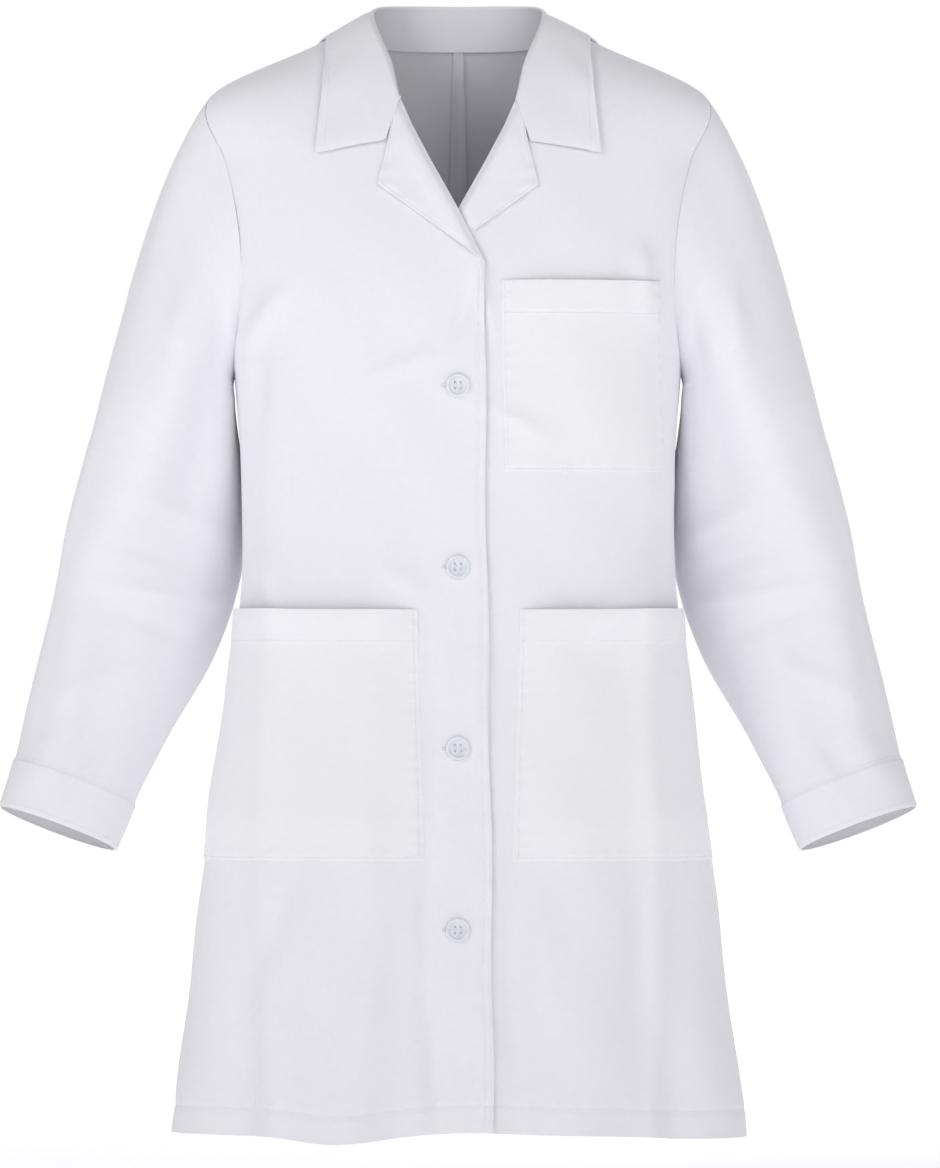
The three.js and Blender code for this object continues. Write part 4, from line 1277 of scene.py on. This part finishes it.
class LABCOAT_OT_buttonholes(bpy.types.Operator):
    """Work the buttonholes: a ring of close stitches round each slit"""
    bl_idname = "labcoat.buttonholes"
    bl_label = "Buttonholes"

    def execute(self, context):
        for index, drop in enumerate(BUTTON_DROPS, 1):
            bm = bmesh.new()
            start, end = -12 * MM, 8 * MM
            half = 1.1 * MM
            for x in np.arange(start, end, 0.55 * MM):
                for row in (-1, 1):
                    self.put(bm, x, drop + row * half, (0, 0, 1))
            for x in (start - 0.6 * MM, end + 0.2 * MM):
                for step in np.linspace(-1.6 * MM, 1.6 * MM, 6):
                    self.put(bm, x, drop + step, (1, 0, 0))
            hole = make_piece(
                f"buttonhole_{index}_stitches", bm, "sewing_thread")
            ride_front(hole, rigid=True)
            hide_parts(f"buttonhole_{index}")
        return {"FINISHED"}

    def put(self, bm, x, drop, along):
        point = Vector(front_place(float(x), drop, UNDER_LIFT + OVER_LIFT))
        put_stitch(bm, point, Vector(along), Vector((0, -1, 0)), 0.05 * MM, body_middle, 0.95 * MM, 0.33 * MM)


class LABCOAT_OT_stitching(bpy.types.Operator):
    """Run the topstitching along edges, pockets, hems and cuffs"""
    bl_idname = "labcoat.stitching"
    bl_label = "Topstitching"

    def execute(self, context):
        break_share = (BREAK - NECK) / (HEM - NECK)
        hem_share = 1 - HEM_TURN / (HEM - NECK)
        for name, side in SIDES:
            bm = bmesh.new()
            front = front_surface(side)
            sew(bm, front, [(0.021, break_share + 0.004), (0.021, 0.999)])
            sew(bm, front, [(0.004, hem_share), (0.996, hem_share)])
            hip = hip_pocket_surface(side)
            sew(bm, hip, [(0.018, 0.004), (0.018, 0.987), (0.99, 0.987)])
            band = POCKET_BAND / (HIP_POCKET[1][2] - HIP_POCKET[0][2])
            sew(bm, hip, [(0.004, band - 0.007), (0.996, band - 0.007)])
            if side > 0:
                chest = chest_pocket_surface()
                sew(bm, chest, [(0.02, 0.004), (0.02, 0.983), (0.98, 0.983), (0.98, 0.004)])
                sew(bm, chest, [(0.006, 0.17), (0.994, 0.17)])
            sew(bm, lapel_surface(side), [(0.93, 0.03), (0.93, 0.96)])
            stitches = make_piece(f"{name}_front_stitches", bm, "sewing_thread")
            ride_front(stitches)
        bm = bmesh.new()
        back = back_surface()
        sew(bm, back, [(0.003, hem_share), (0.997, hem_share)])
        for share in (0.494, 0.506):
            sew(bm, back, [(share, 0.01), (share, 0.97)])
        collar = collar_surface()
        sew(bm, collar, [(0.015, 0.93), (0.985, 0.93)])
        coat_stitches = make_piece("coat_stitches", bm, "sewing_thread")
        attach(coat_stitches, "coat")
        for name, side in SIDES:
            bm = bmesh.new()
            cuff = sleeve_surface(side, UNDER_LIFT + CUFF_LIFT)
            top = length_of(CUFF_SHARE)
            for share in (top + 0.007, 0.990):
                sew(bm, cuff, [(0, share), (1, share)], middle=sleeve_middle(side))
            cuff_stitches = make_piece(
                f"{name}_cuff_stitches", bm, "sewing_thread")
            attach(cuff_stitches, f"{name}_forearm")
        return {"FINISHED"}


FLOOR = -HEM - 50 * MM  # the coat hangs a little above it
FLOOR_RADIUS = 60
BACKDROP = 1.05  # how bright the air looks to the camera, just past white
CAMERA_PLACE = (0.0100, -12.0, -0.4915)
CAMERA_LENS = 441  # long, so that the coat is seen almost without perspective
LIGHTS = (  # name, place, size, and power as a share of the key light's
    ("key", (-3.6, -3.4, 2.3), 2.0, 1.0),
    ("fill", (2.4, -4.8, 1.5), 3.0, 0.85),
    ("back", (0.6, 3.6, 2.4), 3.0, 0.8),
)


class LABCOAT_OT_stage(bpy.types.Operator):
    """Set up the paper background, the soft lights and the camera"""
    bl_idname = "labcoat.stage"
    bl_label = "Stage"

    def execute(self, context):
        scene = context.scene
        settings = scene.lab_coat_stage
        bm = bmesh.new()
        bmesh.ops.create_circle(bm, cap_ends=True, segments=96, radius=FLOOR_RADIUS,
                                matrix=Matrix.Translation((0, 0, FLOOR)))
        mesh = bpy.data.meshes.new("studio_floor")
        bm.to_mesh(mesh)
        bm.free()
        sweep = bpy.data.objects.new("studio_floor", mesh)
        scene.collection.objects.link(sweep)
        mesh.materials.append(studio_paper("seamless background paper", "F8F8FA"))
        for name, place, size, share in LIGHTS:
            self.light(name, place, size, settings.key * share)
        world = bpy.data.worlds.new("studio air")
        world.use_nodes = True
        air = world.node_tree.nodes["Background"]
        air.inputs["Color"].default_value = colour("FBFBFF")
        seen = node(world.node_tree, "ShaderNodeLightPath").outputs["Is Camera Ray"]
        strength = node(world.node_tree, "ShaderNodeMapRange", [("Value", seen)],
                        inputs=[("To Min", settings.air), ("To Max", BACKDROP)])
        world.node_tree.links.new(air.inputs["Strength"], strength.outputs["Result"])
        scene.world = world
        scene.view_settings.view_transform = "Standard"
        camera_data = bpy.data.cameras.new("camera")
        camera_data.lens = CAMERA_LENS
        camera = bpy.data.objects.new("camera", camera_data)
        camera.location = CAMERA_PLACE
        camera.rotation_euler = Euler((math.radians(90), 0, 0))
        scene.collection.objects.link(camera)
        scene.camera = camera
        return {"FINISHED"}

    def light(self, name, place, size, power):
        data = bpy.data.lights.new(name, "AREA")
        data.size = size
        data.energy = power
        lamp = bpy.data.objects.new(name, data)
        lamp.location = place
        lamp.rotation_euler = (Vector((0, 0, -0.5)) - Vector(place)).to_track_quat("-Z", "Y").to_euler()
        bpy.context.scene.collection.objects.link(lamp)


# ---------------------------------------------------------------- the add-on

STEPS = (
    LABCOAT_OT_stage, LABCOAT_OT_back, LABCOAT_OT_fronts, LABCOAT_OT_lapels, LABCOAT_OT_collar,
    LABCOAT_OT_sleeves, LABCOAT_OT_pockets, LABCOAT_OT_buttons, LABCOAT_OT_buttonholes, LABCOAT_OT_stitching,
)


class LABCOAT_PT_sidebar(bpy.types.Panel):
    bl_label = "Lab Coat"
    bl_idname = "LABCOAT_PT_sidebar"
    bl_space_type = "VIEW_3D"
    bl_region_type = "UI"
    bl_category = "Lab Coat"

    def draw(self, context):
        for step in STEPS:
            self.layout.operator(step.bl_idname)
        self.layout.prop(context.scene.lab_coat_cloth, "thickness")
        self.layout.prop(context.scene.lab_coat_buttons, "radius")


SETTINGS = {
    "lab_coat_cloth": LabCoatCloth, "lab_coat_buttons": LabCoatButtons, "lab_coat_stage": LabCoatStage}


def register():
    for kind in (*SETTINGS.values(), *STEPS, LABCOAT_PT_sidebar):
        bpy.utils.register_class(kind)
    for name, kind in SETTINGS.items():
        setattr(bpy.types.Scene, name, PointerProperty(type=kind))


def unregister():
    for name in SETTINGS:
        delattr(bpy.types.Scene, name)
    for kind in (LABCOAT_PT_sidebar, *reversed(STEPS), *reversed(SETTINGS.values())):
        bpy.utils.unregister_class(kind)


def main():
    register()
    for step in STEPS:
        group, name = step.bl_idname.split(".")
        getattr(getattr(bpy.ops, group), name)()


if __name__ == "__main__":
    main()
